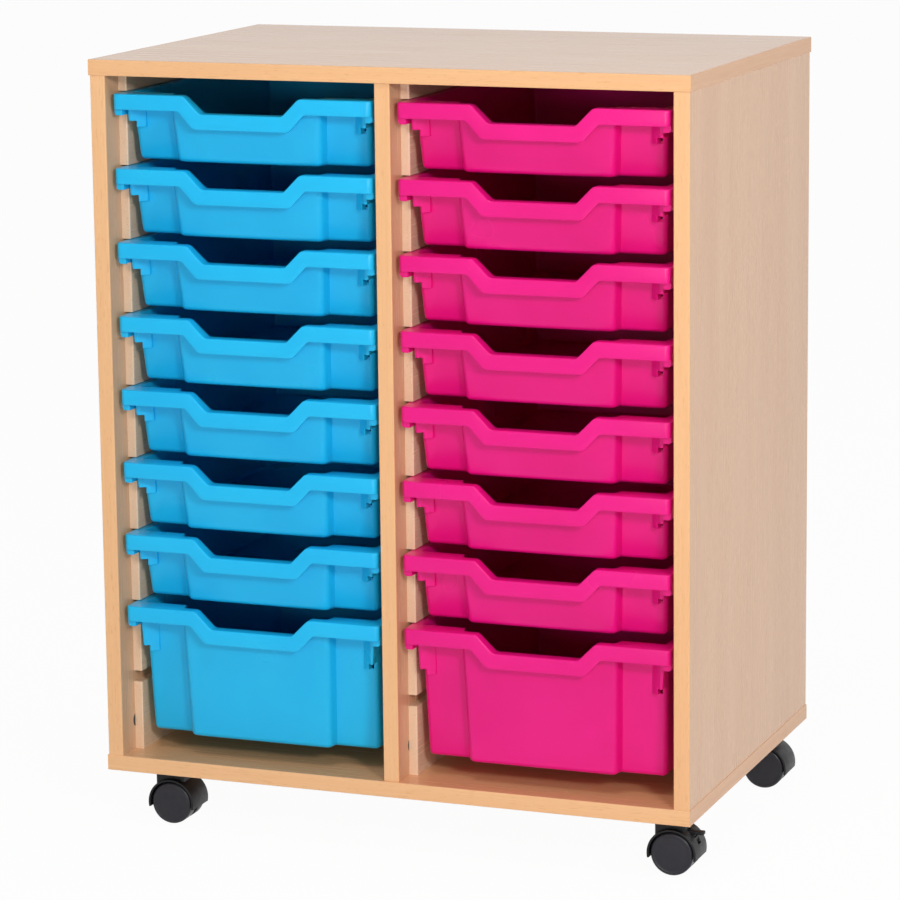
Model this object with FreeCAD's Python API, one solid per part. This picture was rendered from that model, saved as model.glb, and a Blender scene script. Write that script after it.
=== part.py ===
"""Classroom tray storage unit: two columns of lift-out trays in a mobile wood case.

Millimetres. X runs along the front, Y from front to back, Z up. The origin is on the floor,
under the middle of the case. Every sub-part is its own solid, or group of equal solids.
"""

import os
import FreeCAD
import Part
from FreeCAD import Vector
from math import atan2, cos, radians, sin, sqrt, tan

# ---------------------------------------------------------------- boards and case
BOARD = 18.0  # faced chipboard thickness
EDGE_BAND = 2.0  # plastic edging on the front edges and on the ends of top and base
EDGE_ROUND = 1.0  # rounding along the edging's two long corners
SIDE_DEPTH = 467.0  # front of edging to back edge, side panels
COLUMN_WIDTH = 323.5  # clear width between two upright panels
TOP_OVERHANG = 1.5  # top panel past the side panels, each end
BASE_OVERHANG = 1.0  # base panel past the side panels, each end
FRONT_OVERHANG = 1.0  # top and base past the side panels, front and back
DIVIDER_SETBACK = 2.0  # front of the divider behind the front of the side panels
BACK_BOARD = 6.0  # thickness of the back panel
BACK_SETBACK = 6.0  # back panel's outer face in from the back edge of the sides
BACK_FIT = 0.3  # play round the back panel

# ---------------------------------------------------------------- runners
SLOTS = 9  # runner slots in each column
SLOT_PITCH = 84.0
SLOT_HEIGHT = 13.0
TOP_RAIL = 20.0  # height of the short rail over the highest slot
BOTTOM_RAIL = 80.0  # height of the tall rail under the lowest slot
RAIL_THICKNESS = 10.0
RAIL_SETBACK = 35.0  # rail fronts behind the front of the side panels
RAIL_BACK_GAP = 2.0  # rail ends in front of the back panel
RAIL_ROUND = 1.5  # rounding of a rail's front corner

# ---------------------------------------------------------------- trays
SHALLOW_TRAYS = 7  # in each column, from the top
TRAY_SIDE_PLAY = 5.75  # between the rim and the upright panel, each side
TRAY_SETBACK = 6.0  # rim's front behind the front of the side panels
TRAY_BACK_GAP = 22.0  # rim's back in front of the back panel
TRAY_STACK_GAP = 7.5  # shallow tray's floor over the next tray's rim
TRAY_WIDTH = COLUMN_WIDTH - 2 * TRAY_SIDE_PLAY  # over the rim
TRAY_LENGTH = SIDE_DEPTH - TRAY_SETBACK - BACK_SETBACK - BACK_BOARD - TRAY_BACK_GAP
SHALLOW_HEIGHT = SLOT_PITCH - TRAY_STACK_GAP
DEEP_HEIGHT = 2 * SHALLOW_HEIGHT
TRAY_REST_GAP = 0.3  # rim's lower edge over the rail that carries it
TRAY_WALL = 2.5
TRAY_FLOOR = 2.5
RIM_THICKNESS = 2.5
RIM_CORNER = 6.0
END_LIP = 17.5  # depth of the turned-down lip at the front
SIDE_LIP = 12.0  # depth of the lip at the back and along the sides, where it rides on the rails
LIP_STEP = 17.0  # front lip's depth goes this far round each corner
DIP_DEPTH = 20.0  # hand dip in the front
DIP_TOP_HALF = 69.5
DIP_BOTTOM_HALF = 49.5
LIP_DIP_TOP_SPREAD = 6.5  # lip's lower edge is wider than the dip, at its top and bottom
LIP_DIP_BOTTOM_SPREAD = 8.0
LIP_DIP_TOP_HALF = DIP_TOP_HALF + LIP_DIP_TOP_SPREAD
LIP_DIP_BOTTOM_HALF = DIP_BOTTOM_HALF + LIP_DIP_BOTTOM_SPREAD
DIP_ROUND = 8.0
DIP_REACH = 60.0  # front part of the tray that the dip is cut through
BODY_SIDE_IN = 11.0  # body's side walls in from the rim's edge
BODY_HALF_WIDTH = TRAY_WIDTH / 2 - BODY_SIDE_IN  # under the rim
BODY_TAPER = 4.5  # sides lean in by this much down to the floor
FRONT_LEAN = 5.5  # the front leans in by this much more than the sides
BODY_CORNER = 6.0
BULGE_BACK = 10.5  # label face behind the rim's front
RECESS_BACK = 25.0  # front wall beside the label face, behind the rim's front
REAR_BACK = 22.0  # rear wall in front of the rim's back
BULGE_HALF = 91.5  # half width of the label face
BULGE_ROUND = 4.5
BULGE_FOOT = 3.0  # label face's side spreads by this much at its foot
FLOOR_CHAMFER = 3.0
STOP_DROP = 24.5  # stop tabs below the rim's top
STOP_FRONT = 5.0
STOP_GAP = 0.5  # stop tabs in front of the rails
STOP_WIDTH = 9.5
STOP_INNER = TRAY_WIDTH / 2 - STOP_WIDTH
SHALLOW_GUSSET = 31.5  # gussets in the front corners of the body, below the rim's top
DEEP_GUSSET = 49.0
GUSSET_PROUD = 1.0  # past the body's side
GUSSET_WIDTH = 19.0
GUSSET_EDGE = 6.0  # width of its front edge under the rim, before its outer side leans in
GUSSET_LEAN = 0.08  # outer side leans in by this share of the drop
GUSSET_BACK = 15.5  # front edge behind the rim's front
GUSSET_SLANT = 11.0  # from the front edge its face slants back by this much to its inner side
GUSSET_DEPTH = 20.0
GUSSET_STEP = 7.5  # inner part reaches lower by this much
GUSSET_STEP_WIDTH = 8.5
GUSSET_OUTER = BODY_HALF_WIDTH + GUSSET_PROUD
GUSSET_INNER = GUSSET_OUTER - GUSSET_WIDTH
CORNER_SLOT_WIDTH = 3.0  # small slot through the front wall, beside the gusset's lower part
CORNER_SLOT_HEIGHT = 6.5
CORNER_SLOT_PAST = 1.5  # cut past the wall by this much
CORNER_SLOT_BELOW = 1.0  # slot's top below the gusset's outer part

# ---------------------------------------------------------------- case fasteners
CAM_DIAMETER = 15.0
CAM_LENGTH = 12.5
CAM_FIT = 0.1  # radial play of a cam in its pocket
CAM_FROM_END = 34.0  # cam centre in from the end of its upright panel
CAM_FROM_FRONT = 37.0
CAM_FROM_BACK = 37.0
CAM_SLOT = 2.0
CAM_SLOT_DEPTH = 3.0
CAM_MOUTH = 4.0  # radius of the cam's grip round the bolt head
BOLT_DIAMETER = 6.0
BOLT_FIT = 0.2
BOLT_HEAD_DIAMETER = 7.0
BOLT_HEAD = 3.0
BOLT_IN_PANEL = 11.0  # bolt's thread in the top or base
DOWEL_DIAMETER = 8.0
DOWEL_LENGTH = 30.0
DOWEL_IN_PANEL = 10.0
DOWEL_FROM_CAM = 32.0
DOWEL_END_GAP = 1.0
SCREW_SHANK = 3.5
SCREW_HEAD = 7.0
SCREW_LENGTH = 25.0
BACK_SCREWS = 5

# ---------------------------------------------------------------- castors
CASTOR_FROM_SIDE = 46.5  # swivel axis in from the side panel's outer face
CASTOR_FROM_EDGE = 54.0  # swivel axis in from the side panel's front and back edges
PLATE_SIZE = 58.0
PLATE_THICKNESS = 2.5
PLATE_CORNER = 6.0
PLATE_HOLE_IN = 7.0  # screw holes in from the plate's edges
PLATE_HOLE_SPACING = PLATE_SIZE - 2 * PLATE_HOLE_IN
PLATE_SCREW = 4.0
PLATE_SCREW_HEAD = 8.0
PLATE_SCREW_HEAD_HEIGHT = 2.0
PLATE_SCREW_LENGTH = 16.0
PLATE_SCREW_FIT = 0.3
TRAIL = 15.0  # axle behind the swivel axis
WHEEL_DIAMETER = 49.0
WHEEL_WIDTH = 15.0
WHEEL_DOME = 0.8  # middle of a wheel's outer face stands out by this much
WHEEL_GAP = 10.0  # between the two wheels of a castor
WHEEL_SHOULDER = 3.0
WHEEL_RIM = 3.5
WHEEL_WEB = 3.0
WHEEL_HUB_RADIUS = 7.0
WHEEL_TOP_ROOM = 20.0  # between the wheels' top and the base
CASTOR_HEIGHT = WHEEL_DIAMETER + WHEEL_TOP_ROOM
AXLE_DIAMETER = 6.0
AXLE_END_CAP = 1.5  # wheel face closed over the axle's end
AXLE_END_GAP = 0.5
RUNNING_FIT = 0.05  # radial play of a wheel on its axle and of a hood on its kingpin
HOOD_GAP = 1.5  # round the treads
HOOD_WALL = 2.5
HOOD_RADIUS = WHEEL_DIAMETER / 2 + HOOD_GAP + HOOD_WALL
HOOD_SIDE = 1.25  # hood wider than the wheels, each side
HOOD_WIDTH = WHEEL_GAP + 2 * WHEEL_WIDTH + 2 * HOOD_SIDE
HOOD_DROP = 6.0  # hood's lower edges this far under the axle
HOOD_WEB_GAP = 1.0  # between the hood's middle web and each wheel
HOOD_WEB = WHEEL_GAP - 2 * HOOD_WEB_GAP
HOOD_SADDLE_FRONT = 21.0  # saddle's ends before and behind the axle
HOOD_SADDLE_REAR = 14.0
HOOD_SADDLE_WIDTH = 30.0
HOOD_SADDLE_GAP = 1.0  # saddle under the plate's screw heads
HOOD_SADDLE_TOP_GAP = PLATE_SCREW_HEAD_HEIGHT + HOOD_SADDLE_GAP
HOOD_COLLAR_DIAMETER = 19.0
HOOD_COLLAR_GAP = 0.3
KINGPIN_DIAMETER = 8.0
KINGPIN_HEAD_DIAMETER = 13.0
KINGPIN_HEAD = 1.5
KINGPIN_DEPTH = 17.0  # kingpin below the plate
KINGPIN_END_GAP = 0.5
KINGPIN_GROOVE = 0.8
SOCKET_WALL = 3.5
SOCKET_DIAMETER = KINGPIN_DIAMETER + 2 * SOCKET_WALL
SOCKET_DEPTH = KINGPIN_DEPTH + SOCKET_WALL
BRAKE_WIDTH = 9.0  # pedal; all its places are measured from the axle
BRAKE_PLAY = 0.5  # between the pedal and its opening in the hood
BRAKE_TRAVEL = 1.5  # room for the shoe's way to the treads and for the arm's swing
BRAKE_PIN_X = 9.5
BRAKE_PIN_OVER_TREAD = 4.5
BRAKE_PIN_Z = WHEEL_DIAMETER / 2 + BRAKE_PIN_OVER_TREAD
BRAKE_PIN_RADIUS = 1.5
BRAKE_PIN_LENGTH = 3.0  # each of the pedal's two pivot stubs
BRAKE_HUB_RADIUS = 3.0
BRAKE_TIP_OUT = 4.0  # pad's tip past the hood
BRAKE_TIP_X = HOOD_RADIUS + BRAKE_TIP_OUT
BRAKE_PAD_DROP = 5.0  # pad's top under the pivot
BRAKE_PAD_TOP = BRAKE_PIN_Z - BRAKE_PAD_DROP
BRAKE_PAD_THICKNESS = 3.5
BRAKE_SHOE_ANGLE = 44.0  # shoe's direction from the axle, above the horizontal
BRAKE_SHOE_GAP = 1.4  # shoe's inner face off the treads when released
BRAKE_SHOE_RADIUS = WHEEL_DIAMETER / 2 + BRAKE_SHOE_GAP
BRAKE_SHOE_DEPTH = 2.5
BRAKE_SHOE_LENGTH = 4.0
BRAKE_SHOE_WIDTH = 18.0
BRAKE_SLOT_LOW = 9.5  # lower end of the opening under the pedal

# ---------------------------------------------------------------- derived places
CASE_WIDTH = 3 * BOARD + 2 * COLUMN_WIDTH
RAIL_HEIGHT = SLOT_PITCH - SLOT_HEIGHT
INNER_HEIGHT = TOP_RAIL + (SLOTS - 1) * SLOT_PITCH + SLOT_HEIGHT + BOTTOM_RAIL
Z_BASE = CASTOR_HEIGHT
Z_FLOOR = Z_BASE + BOARD
Z_CEILING = Z_FLOOR + INNER_HEIGHT
Z_TOP = Z_CEILING + BOARD
Y_FRONT = -SIDE_DEPTH / 2
Y_BACK = SIDE_DEPTH / 2
Y_DIVIDER = Y_FRONT + DIVIDER_SETBACK
Y_BACK_PANEL = Y_BACK - BACK_SETBACK - BACK_BOARD
COLUMN_X = (BOARD + COLUMN_WIDTH) / 2
SIDE_X = CASE_WIDTH / 2
TRAY_Y = Y_FRONT + TRAY_SETBACK + TRAY_LENGTH / 2
CASTOR_X = SIDE_X - CASTOR_FROM_SIDE
CASTOR_Y = SIDE_DEPTH / 2 - CASTOR_FROM_EDGE
AXLE_Z = WHEEL_DIAMETER / 2
PLATE_Z = Z_BASE - PLATE_THICKNESS
X_AXIS = Vector(1, 0, 0)
Y_AXIS = Vector(0, 1, 0)
Z_AXIS = Vector(0, 0, 1)
STOP_BACK = RAIL_SETBACK - TRAY_SETBACK - STOP_GAP


# ---------------------------------------------------------------- shape helpers
def box(x0, x1, y0, y1, z0, z1):
    """Block between two opposite corners."""
    return Part.makeBox(x1 - x0, y1 - y0, z1 - z0, Vector(x0, y0, z0))


def rod(radius, start, axis, length):
    """Round bar from start along axis."""
    return Part.makeCylinder(radius, length, start, axis)


def join(shapes):
    """All shapes as one solid."""
    whole = shapes[0]
    for shape in shapes[1:]:
        whole = whole.fuse(shape)
    return whole.removeSplitter()


def less(shape, tools):
    """The shape with every tool cut out of it."""
    for tool in tools:
        shape = shape.cut(tool)
    return shape


def edges_along(shape, axis, test):
    """Straight edges of a shape that run along an axis and whose middle passes a test."""
    found = []
    for edge in shape.Edges:
        if edge.Curve.TypeId != "Part::GeomLine":
            continue
        run = edge.Vertexes[-1].Point - edge.Vertexes[0].Point
        if abs(abs(run.dot(axis)) - run.Length) < 1e-6 and test(edge.CenterOfMass):
            found.append(edge)
    return found


def save(name, shape):
    """Write one node."""
    shape.exportStep("parts/" + name + ".step")


def save_group(name, shapes):
    """Write one node that is a group of separate solids."""
    save(name, Part.makeCompound(shapes))


# ---------------------------------------------------------------- upright panels' fastener places
def cam_depths(y_front):
    """Y of the two cams of an upright panel that starts at y_front."""
    return (y_front + CAM_FROM_FRONT, Y_BACK_PANEL - CAM_FROM_BACK)


def panel_joints():
    """Every cam joint: middle of the upright panel in X, Y of the cam, side its cam faces."""
    joints = []
    for x_mid, y_front, face in (
        (-SIDE_X + BOARD / 2, Y_FRONT, 1),
        (0.0, Y_DIVIDER, 1),
        (SIDE_X - BOARD / 2, Y_FRONT, -1),
    ):
        for y in cam_depths(y_front):
            joints.append((x_mid, y, face))
    return joints


def dowel_places():
    """X and Y of every dowel, one beside each cam, towards the middle of the depth."""
    places = []
    for x_mid, y, _ in panel_joints():
        inwards = 1 if y < 0 else -1
        places.append((x_mid, y + inwards * DOWEL_FROM_CAM))
    return places


def ends():
    """Both ends of an upright panel: Z of the end and the way into the panel."""
    return ((Z_FLOOR, 1), (Z_CEILING, -1))


def cam_cylinder(x_mid, y, face, z_end, into, extra):
    """Round space of one cam, opening on one face of its upright panel."""
    start = Vector(x_mid + face * BOARD / 2, y, z_end + into * CAM_FROM_END)
    return rod(CAM_DIAMETER / 2 + extra, start, X_AXIS * -face, CAM_LENGTH + extra)


def bolt_bore(x_mid, y, z_end, into, radius, deep):
    """Round space along a cam bolt, from inside the top or base to the cam."""
    start = Vector(x_mid, y, z_end - into * deep)
    return rod(radius, start, Z_AXIS * into, deep + CAM_FROM_END)


def upright_cuts(x_mid):
    """Pockets for cams, bolts and dowels in the upright panel whose middle is at x_mid."""
    cuts = []
    for z_end, into in ends():
        for x, y, face in panel_joints():
            if x == x_mid:
                cuts.append(cam_cylinder(x, y, face, z_end, into, CAM_FIT))
                cuts.append(bolt_bore(x, y, z_end, into, BOLT_HEAD_DIAMETER / 2 + BOLT_FIT, 0))
        for x, y in dowel_places():
            if x == x_mid:
                depth = DOWEL_LENGTH - DOWEL_IN_PANEL + DOWEL_END_GAP
                cuts.append(rod(DOWEL_DIAMETER / 2, Vector(x, y, z_end), Z_AXIS * into, depth))
    return cuts


def level_cuts(z_end, into):
    """Holes for bolts and dowels in the top or base, whose inner face is at z_end."""
    cuts = []
    for x, y, _ in panel_joints():
        cuts.append(rod(BOLT_DIAMETER / 2, Vector(x, y, z_end), Z_AXIS * -into, BOLT_IN_PANEL))
    for x, y in dowel_places():
        depth = DOWEL_IN_PANEL + DOWEL_END_GAP
        cuts.append(rod(DOWEL_DIAMETER / 2, Vector(x, y, z_end), Z_AXIS * -into, depth))
    return cuts


# ---------------------------------------------------------------- panels
def level_panel(overhang, z0, z_inner, into):
    """Top or base board without its edging."""
    x = SIDE_X + overhang - EDGE_BAND
    y0 = Y_FRONT - FRONT_OVERHANG + EDGE_BAND
    board = box(-x, x, y0, Y_BACK + FRONT_OVERHANG, z0, z0 + BOARD)
    return less(board, level_cuts(z_inner, into))


def upright_panel(x_mid, y_front, y_back):
    """Side panel or divider without its edging."""
    x0 = x_mid - BOARD / 2
    board = box(x0, x0 + BOARD, y_front + EDGE_BAND, y_back, Z_FLOOR, Z_CEILING)
    return less(board, upright_cuts(x_mid))


def back_panel():
    """Thin board between the sides, behind the divider, with its screw holes."""
    x = SIDE_X - BOARD - BACK_FIT
    y1 = Y_BACK_PANEL + BACK_BOARD
    board = box(-x, x, Y_BACK_PANEL, y1, Z_FLOOR + BACK_FIT, Z_CEILING - BACK_FIT)
    return less(board, [back_screw(z) for z in back_screw_heights()])


def back_screw_heights():
    """Z of the screws that hold the back panel to the divider."""
    step = INNER_HEIGHT / BACK_SCREWS
    return [Z_FLOOR + (i + 0.5) * step for i in range(BACK_SCREWS)]


def back_screw(z):
    """Countersunk screw through the back panel into the divider's back edge."""
    y = Y_BACK_PANEL + BACK_BOARD
    sink = (SCREW_HEAD - SCREW_SHANK) / 2
    head = Part.makeCone(SCREW_HEAD / 2, SCREW_SHANK / 2, sink, Vector(0, y, z), -Y_AXIS)
    return head.fuse(rod(SCREW_SHANK / 2, Vector(0, y, z), -Y_AXIS, SCREW_LENGTH))


# ---------------------------------------------------------------- edging
def upright_band(x_mid, y_front):
    """Edging on the front of an upright panel."""
    x0 = x_mid - BOARD / 2
    band = box(x0, x0 + BOARD, y_front, y_front + EDGE_BAND, Z_FLOOR, Z_CEILING)
    front = edges_along(band, Z_AXIS, lambda p: p.y < y_front + EDGE_BAND / 2)
    return band.makeFillet(EDGE_ROUND, front)


def level_bands(overhang, z0):
    """Edging on the front and both ends of the top or base."""
    x1 = SIDE_X + overhang
    x0 = x1 - EDGE_BAND
    y0 = Y_FRONT - FRONT_OVERHANG
    front = box(-x1, x1, y0, y0 + EDGE_BAND, z0, z0 + BOARD)
    outer = edges_along(front, X_AXIS, lambda p: p.y < y0 + EDGE_BAND / 2)
    strips = [front.makeFillet(EDGE_ROUND, outer)]
    for side in (-1, 1):
        low, high = sorted((side * x0, side * x1))
        end = box(low, high, y0 + EDGE_BAND, Y_BACK + FRONT_OVERHANG, z0, z0 + BOARD)
        rim = edges_along(end, Y_AXIS, lambda p: abs(p.x) > x1 - EDGE_BAND / 2)
        strips.append(end.makeFillet(EDGE_ROUND, rim))
    return strips


# ---------------------------------------------------------------- runners
def slot_bottom(slot):
    """Z of the rail top that carries the tray in a slot, counted from the top."""
    return Z_CEILING - TOP_RAIL - slot * SLOT_PITCH - SLOT_HEIGHT


def rail_spans():
    """Z spans of the rails of one strip, from the top."""
    spans = [(Z_CEILING - TOP_RAIL, Z_CEILING)]
    for slot in range(SLOTS - 1):
        spans.append((slot_bottom(slot) - RAIL_HEIGHT, slot_bottom(slot)))
    spans.append((Z_FLOOR, slot_bottom(SLOTS - 1)))
    return spans


def runner_strip(x_face, out):
    """Rails on an upright panel's face at x_face, standing off it towards out."""
    y0 = Y_FRONT + RAIL_SETBACK
    y1 = Y_BACK_PANEL - RAIL_BACK_GAP
    x0, x1 = sorted((x_face, x_face + out * RAIL_THICKNESS))
    rails = []
    for z0, z1 in rail_spans():
        rail = box(x0, x1, y0, y1, z0, z1)
        nose = edges_along(
            rail, Z_AXIS, lambda p: p.y < y0 + 1 and abs(p.x - x_face) > RAIL_THICKNESS / 2
        )
        rails.append(rail.makeFillet(RAIL_ROUND, nose))
    return rails


# ---------------------------------------------------------------- case fasteners
def cam_fitting(x_mid, y, face, z_end, into):
    """Cam with a driver slot in its face and a mouth for the bolt's head."""
    x_face = x_mid + face * BOARD / 2
    z = z_end + into * CAM_FROM_END
    cam = cam_cylinder(x_mid, y, face, z_end, into, 0.0)
    low, high = sorted((x_face, x_face - face * CAM_SLOT_DEPTH))
    reach = CAM_DIAMETER / 3
    slot = box(low, high, y - CAM_SLOT / 2, y + CAM_SLOT / 2, z - reach, z + reach)
    mouth = rod(CAM_MOUTH, Vector(x_mid, y, z - into * CAM_DIAMETER), Z_AXIS * into,
                CAM_DIAMETER + CAM_MOUTH)
    return less(cam, [slot, mouth])


def cam_bolt(x_mid, y, z_end, into):
    """Bolt screwed into the top or base, with its head inside the cam."""
    bottom = Vector(x_mid, y, z_end - into * BOLT_IN_PANEL)
    shank = rod(BOLT_DIAMETER / 2, bottom, Z_AXIS * into, BOLT_IN_PANEL + CAM_FROM_END)
    head_start = Vector(x_mid, y, z_end + into * (CAM_FROM_END - BOLT_HEAD))
    return join([shank, rod(BOLT_HEAD_DIAMETER / 2, head_start, Z_AXIS * into, BOLT_HEAD)])


def dowel(x, y, z_end, into):
    """Wood dowel across the joint between an upright panel and the top or base."""
    start = Vector(x, y, z_end - into * DOWEL_IN_PANEL)
    peg = rod(DOWEL_DIAMETER / 2, start, Z_AXIS * into, DOWEL_LENGTH)
    return peg.makeChamfer(1.0, [e for e in peg.Edges if e.Closed and len(e.Vertexes) == 1])


def case_fasteners():
    """Cams, cam bolts and dowels of every joint."""
    cams, bolts, dowels = [], [], []
    for z_end, into in ends():
        for x, y, face in panel_joints():
            cams.append(cam_fitting(x, y, face, z_end, into))
            bolts.append(cam_bolt(x, y, z_end, into))
        for x, y in dowel_places():
            dowels.append(dowel(x, y, z_end, into))
    return cams, bolts, dowels


# ---------------------------------------------------------------- tray outlines
def arc(start, middle, end):
    """Edge through three points."""
    return Part.Arc(start, middle, end).toShape()


def round_rect(width, length, radius, z):
    """Closed outline of a rectangle with round corners, centred on the origin."""
    w, h, r = width / 2, length / 2, radius
    k = r * (1 - cos(radians(45)))
    corners = ((1, -1), (1, 1), (-1, 1), (-1, -1))
    edges = []
    last = None
    for sx, sy in corners:
        on_end = Vector(sx * (w - r), sy * h, z)
        on_side = Vector(sx * w, sy * (h - r), z)
        middle = Vector(sx * (w - k), sy * (h - k), z)
        start, end = (on_end, on_side) if sx == -sy else (on_side, on_end)
        if last is not None:
            edges.append(Part.makeLine(last, start))
        edges.append(arc(start, middle, end))
        last = end
    edges.append(Part.makeLine(last, edges[0].Vertexes[0].Point))
    return Part.Wire(edges)


def body_outline(inset, z, lean=0.0):
    """Outline of the tray's body: round corners, and a label face that stands out at the front."""
    half = BODY_HALF_WIDTH - inset
    y_label = inset + lean + BULGE_BACK - TRAY_LENGTH / 2
    y_wall = inset + lean + RECESS_BACK - TRAY_LENGTH / 2
    y_rear = TRAY_LENGTH / 2 - REAR_BACK - inset
    label = BULGE_HALF - inset
    r, c = BULGE_ROUND, BODY_CORNER
    k, m = r * (1 - cos(radians(45))), c * (1 - cos(radians(45)))

    def half_outline(sx):
        """Points of one side, from the middle of the front to the middle of the back."""
        return [
            Vector(sx * (label - r), y_label, z),
            Vector(sx * (label - k), y_label + k, z),
            Vector(sx * label, y_label + r, z),
            Vector(sx * (label + BULGE_FOOT), y_wall, z),
            Vector(sx * (half - c), y_wall, z),
            Vector(sx * (half - m), y_wall + m, z),
            Vector(sx * half, y_wall + c, z),
            Vector(sx * half, y_rear - c, z),
            Vector(sx * (half - m), y_rear - m, z),
            Vector(sx * (half - c), y_rear, z),
        ]

    right, left = half_outline(1), half_outline(-1)[::-1]
    edges = [
        arc(*right[0:3]),
        Part.makeLine(right[2], right[3]),
        Part.makeLine(right[3], right[4]),
        arc(*right[4:7]),
        Part.makeLine(right[6], right[7]),
        arc(*right[7:10]),
        Part.makeLine(right[9], left[0]),
        arc(*left[0:3]),
        Part.makeLine(left[2], left[3]),
        arc(*left[3:6]),
        Part.makeLine(left[5], left[6]),
        Part.makeLine(left[6], left[7]),
        arc(*left[7:10]),
        Part.makeLine(left[9], right[0]),
    ]
    return Part.Wire(edges)


def tapered_body(inset, height, z_top, chamfer):
    """Solid body of a tray, tapered and with a chamfer round its floor."""
    share = 1 - chamfer / height
    sections = [
        body_outline(inset, z_top),
        body_outline(inset + BODY_TAPER * share, chamfer - height, FRONT_LEAN * share),
        body_outline(inset + BODY_TAPER + chamfer, -height, FRONT_LEAN),
    ]
    return Part.makeLoft(sections, True, True)


def under_line(top_half, bottom_half, shift, z_low):
    """Everything under the rim's line, which has the hand dip in the front of the tray."""
    slope = atan2(DIP_DEPTH, top_half - bottom_half)
    t = DIP_ROUND * tan(slope / 2)
    dx, dz = t * cos(slope), t * sin(slope)
    y = -TRAY_LENGTH
    far = TRAY_WIDTH
    z_dip = shift - DIP_DEPTH

    def bend(x, z, sx, hollow):
        """Tangent points and middle of one round bend of the line."""
        turn = -1 if hollow else 1
        centre = Vector(sx * (x + turn * t), y, z - turn * DIP_ROUND)
        mid = Vector(centre.x - sx * turn * DIP_ROUND * sin(slope / 2), y,
                     centre.z + turn * DIP_ROUND * cos(slope / 2))
        flat = Vector(sx * (x + turn * t), y, z)
        steep = Vector(sx * (x - turn * dx), y, z - turn * dz)
        return flat, mid, steep

    left_top = bend(top_half, shift, -1, False)
    left_low = bend(bottom_half, z_dip, -1, True)
    right_low = bend(bottom_half, z_dip, 1, True)
    right_top = bend(top_half, shift, 1, False)
    corners = [Vector(-far, y, z_low), Vector(-far, y, shift)]
    edges = [Part.makeLine(corners[0], corners[1]), Part.makeLine(corners[1], left_top[0])]
    edges.append(arc(*left_top))
    edges.append(Part.makeLine(left_top[2], left_low[2]))
    edges.append(arc(*left_low[::-1]))
    edges.append(Part.makeLine(left_low[0], right_low[0]))
    edges.append(arc(*right_low))
    edges.append(Part.makeLine(right_low[2], right_top[2]))
    edges.append(arc(*right_top[::-1]))
    end = Vector(far, y, shift)
    edges.append(Part.makeLine(right_top[0], end))
    edges.append(Part.makeLine(end, Vector(far, y, z_low)))
    edges.append(Part.makeLine(Vector(far, y, z_low), corners[0]))
    y_split = DIP_REACH - TRAY_LENGTH / 2
    front = Part.Face(Part.Wire(edges)).extrude(Vector(0, y_split - y, 0))
    return front.fuse(box(-far, far, y_split, TRAY_LENGTH, z_low, shift))


# ---------------------------------------------------------------- tray
def tray_rim():
    """Flat rim with its turned-down lip, following the hand dips."""
    low = -END_LIP - DIP_DEPTH - 1
    under_top = under_line(DIP_TOP_HALF, DIP_BOTTOM_HALF, 0.0, low)
    under_lip = under_line(LIP_DIP_TOP_HALF, LIP_DIP_BOTTOM_HALF, -END_LIP, low)
    under_rim = under_line(DIP_TOP_HALF + 1.0, DIP_BOTTOM_HALF + 1.0, -RIM_THICKNESS, low)
    outer = round_rect(TRAY_WIDTH, TRAY_LENGTH, RIM_CORNER, low)
    inner = round_rect(TRAY_WIDTH - 2 * RIM_THICKNESS, TRAY_LENGTH - 2 * RIM_THICKNESS,
                       RIM_CORNER - RIM_THICKNESS, low)
    up = Vector(0, 0, -low)
    block = Part.Face(outer).extrude(up).common(under_top).cut(under_lip)
    hollow = Part.Face(inner).extrude(up).common(under_rim)
    rim = block.cut(hollow)
    y = TRAY_LENGTH / 2
    x = TRAY_WIDTH / 2 + 1
    return rim.cut(box(-x, x, LIP_STEP - y, y + 1, low, -SIDE_LIP))


def stop_tab(sx):
    """Tab under a front corner of the rim, which stops the tray at the rail's front."""
    y0 = -TRAY_LENGTH / 2
    x0, x1 = sorted((sx * STOP_INNER, sx * TRAY_WIDTH / 2))
    return box(x0, x1, y0 + STOP_FRONT, y0 + STOP_BACK, -STOP_DROP, -RIM_THICKNESS / 2)


def front_lean(height, drop):
    """How far the front of a tray's body leans in at a drop below the rim's top."""
    return (BODY_TAPER + FRONT_LEAN) * drop / height


def corner_gusset(sx, drop):
    """Slanting gusset in a front corner of the body, its inner part lower than its outer part."""
    y0 = GUSSET_BACK - TRAY_LENGTH / 2
    y1 = y0 + GUSSET_DEPTH
    top = -RIM_THICKNESS / 2
    low = -drop - GUSSET_STEP
    step = GUSSET_INNER + GUSSET_STEP_WIDTH
    seen_from_front = [(GUSSET_INNER, top), (GUSSET_OUTER, top), (GUSSET_OUTER - GUSSET_LEAN * drop, -drop),
                       (step, -drop), (step, low), (GUSSET_INNER, low)]
    in_plan = [(GUSSET_OUTER, y0), (GUSSET_OUTER - GUSSET_EDGE, y0), (GUSSET_INNER, y0 + GUSSET_SLANT),
               (GUSSET_INNER, y1), (GUSSET_OUTER, y1)]
    across = [Vector(sx * x, y0, z) for x, z in seen_from_front]
    plan = [Vector(sx * x, y, low) for x, y in in_plan]
    block = Part.Face(Part.makePolygon(across + across[:1])).extrude(Vector(0, GUSSET_DEPTH, 0))
    return block.common(Part.Face(Part.makePolygon(plan + plan[:1])).extrude(Vector(0, 0, top - low)))


def corner_slot(sx, height, drop):
    """Small slot through the front wall, beside the lower part of the gusset."""
    y0 = RECESS_BACK - TRAY_LENGTH / 2
    x0, x1 = sorted(sx * (GUSSET_INNER + GUSSET_STEP_WIDTH + t) for t in (0.0, CORNER_SLOT_WIDTH))
    z1 = -drop - CORNER_SLOT_BELOW
    z0 = z1 - CORNER_SLOT_HEIGHT
    y1 = y0 + front_lean(height, -z0) + TRAY_WALL + CORNER_SLOT_PAST
    return box(x0, x1, y0, y1, z0, z1)


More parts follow.
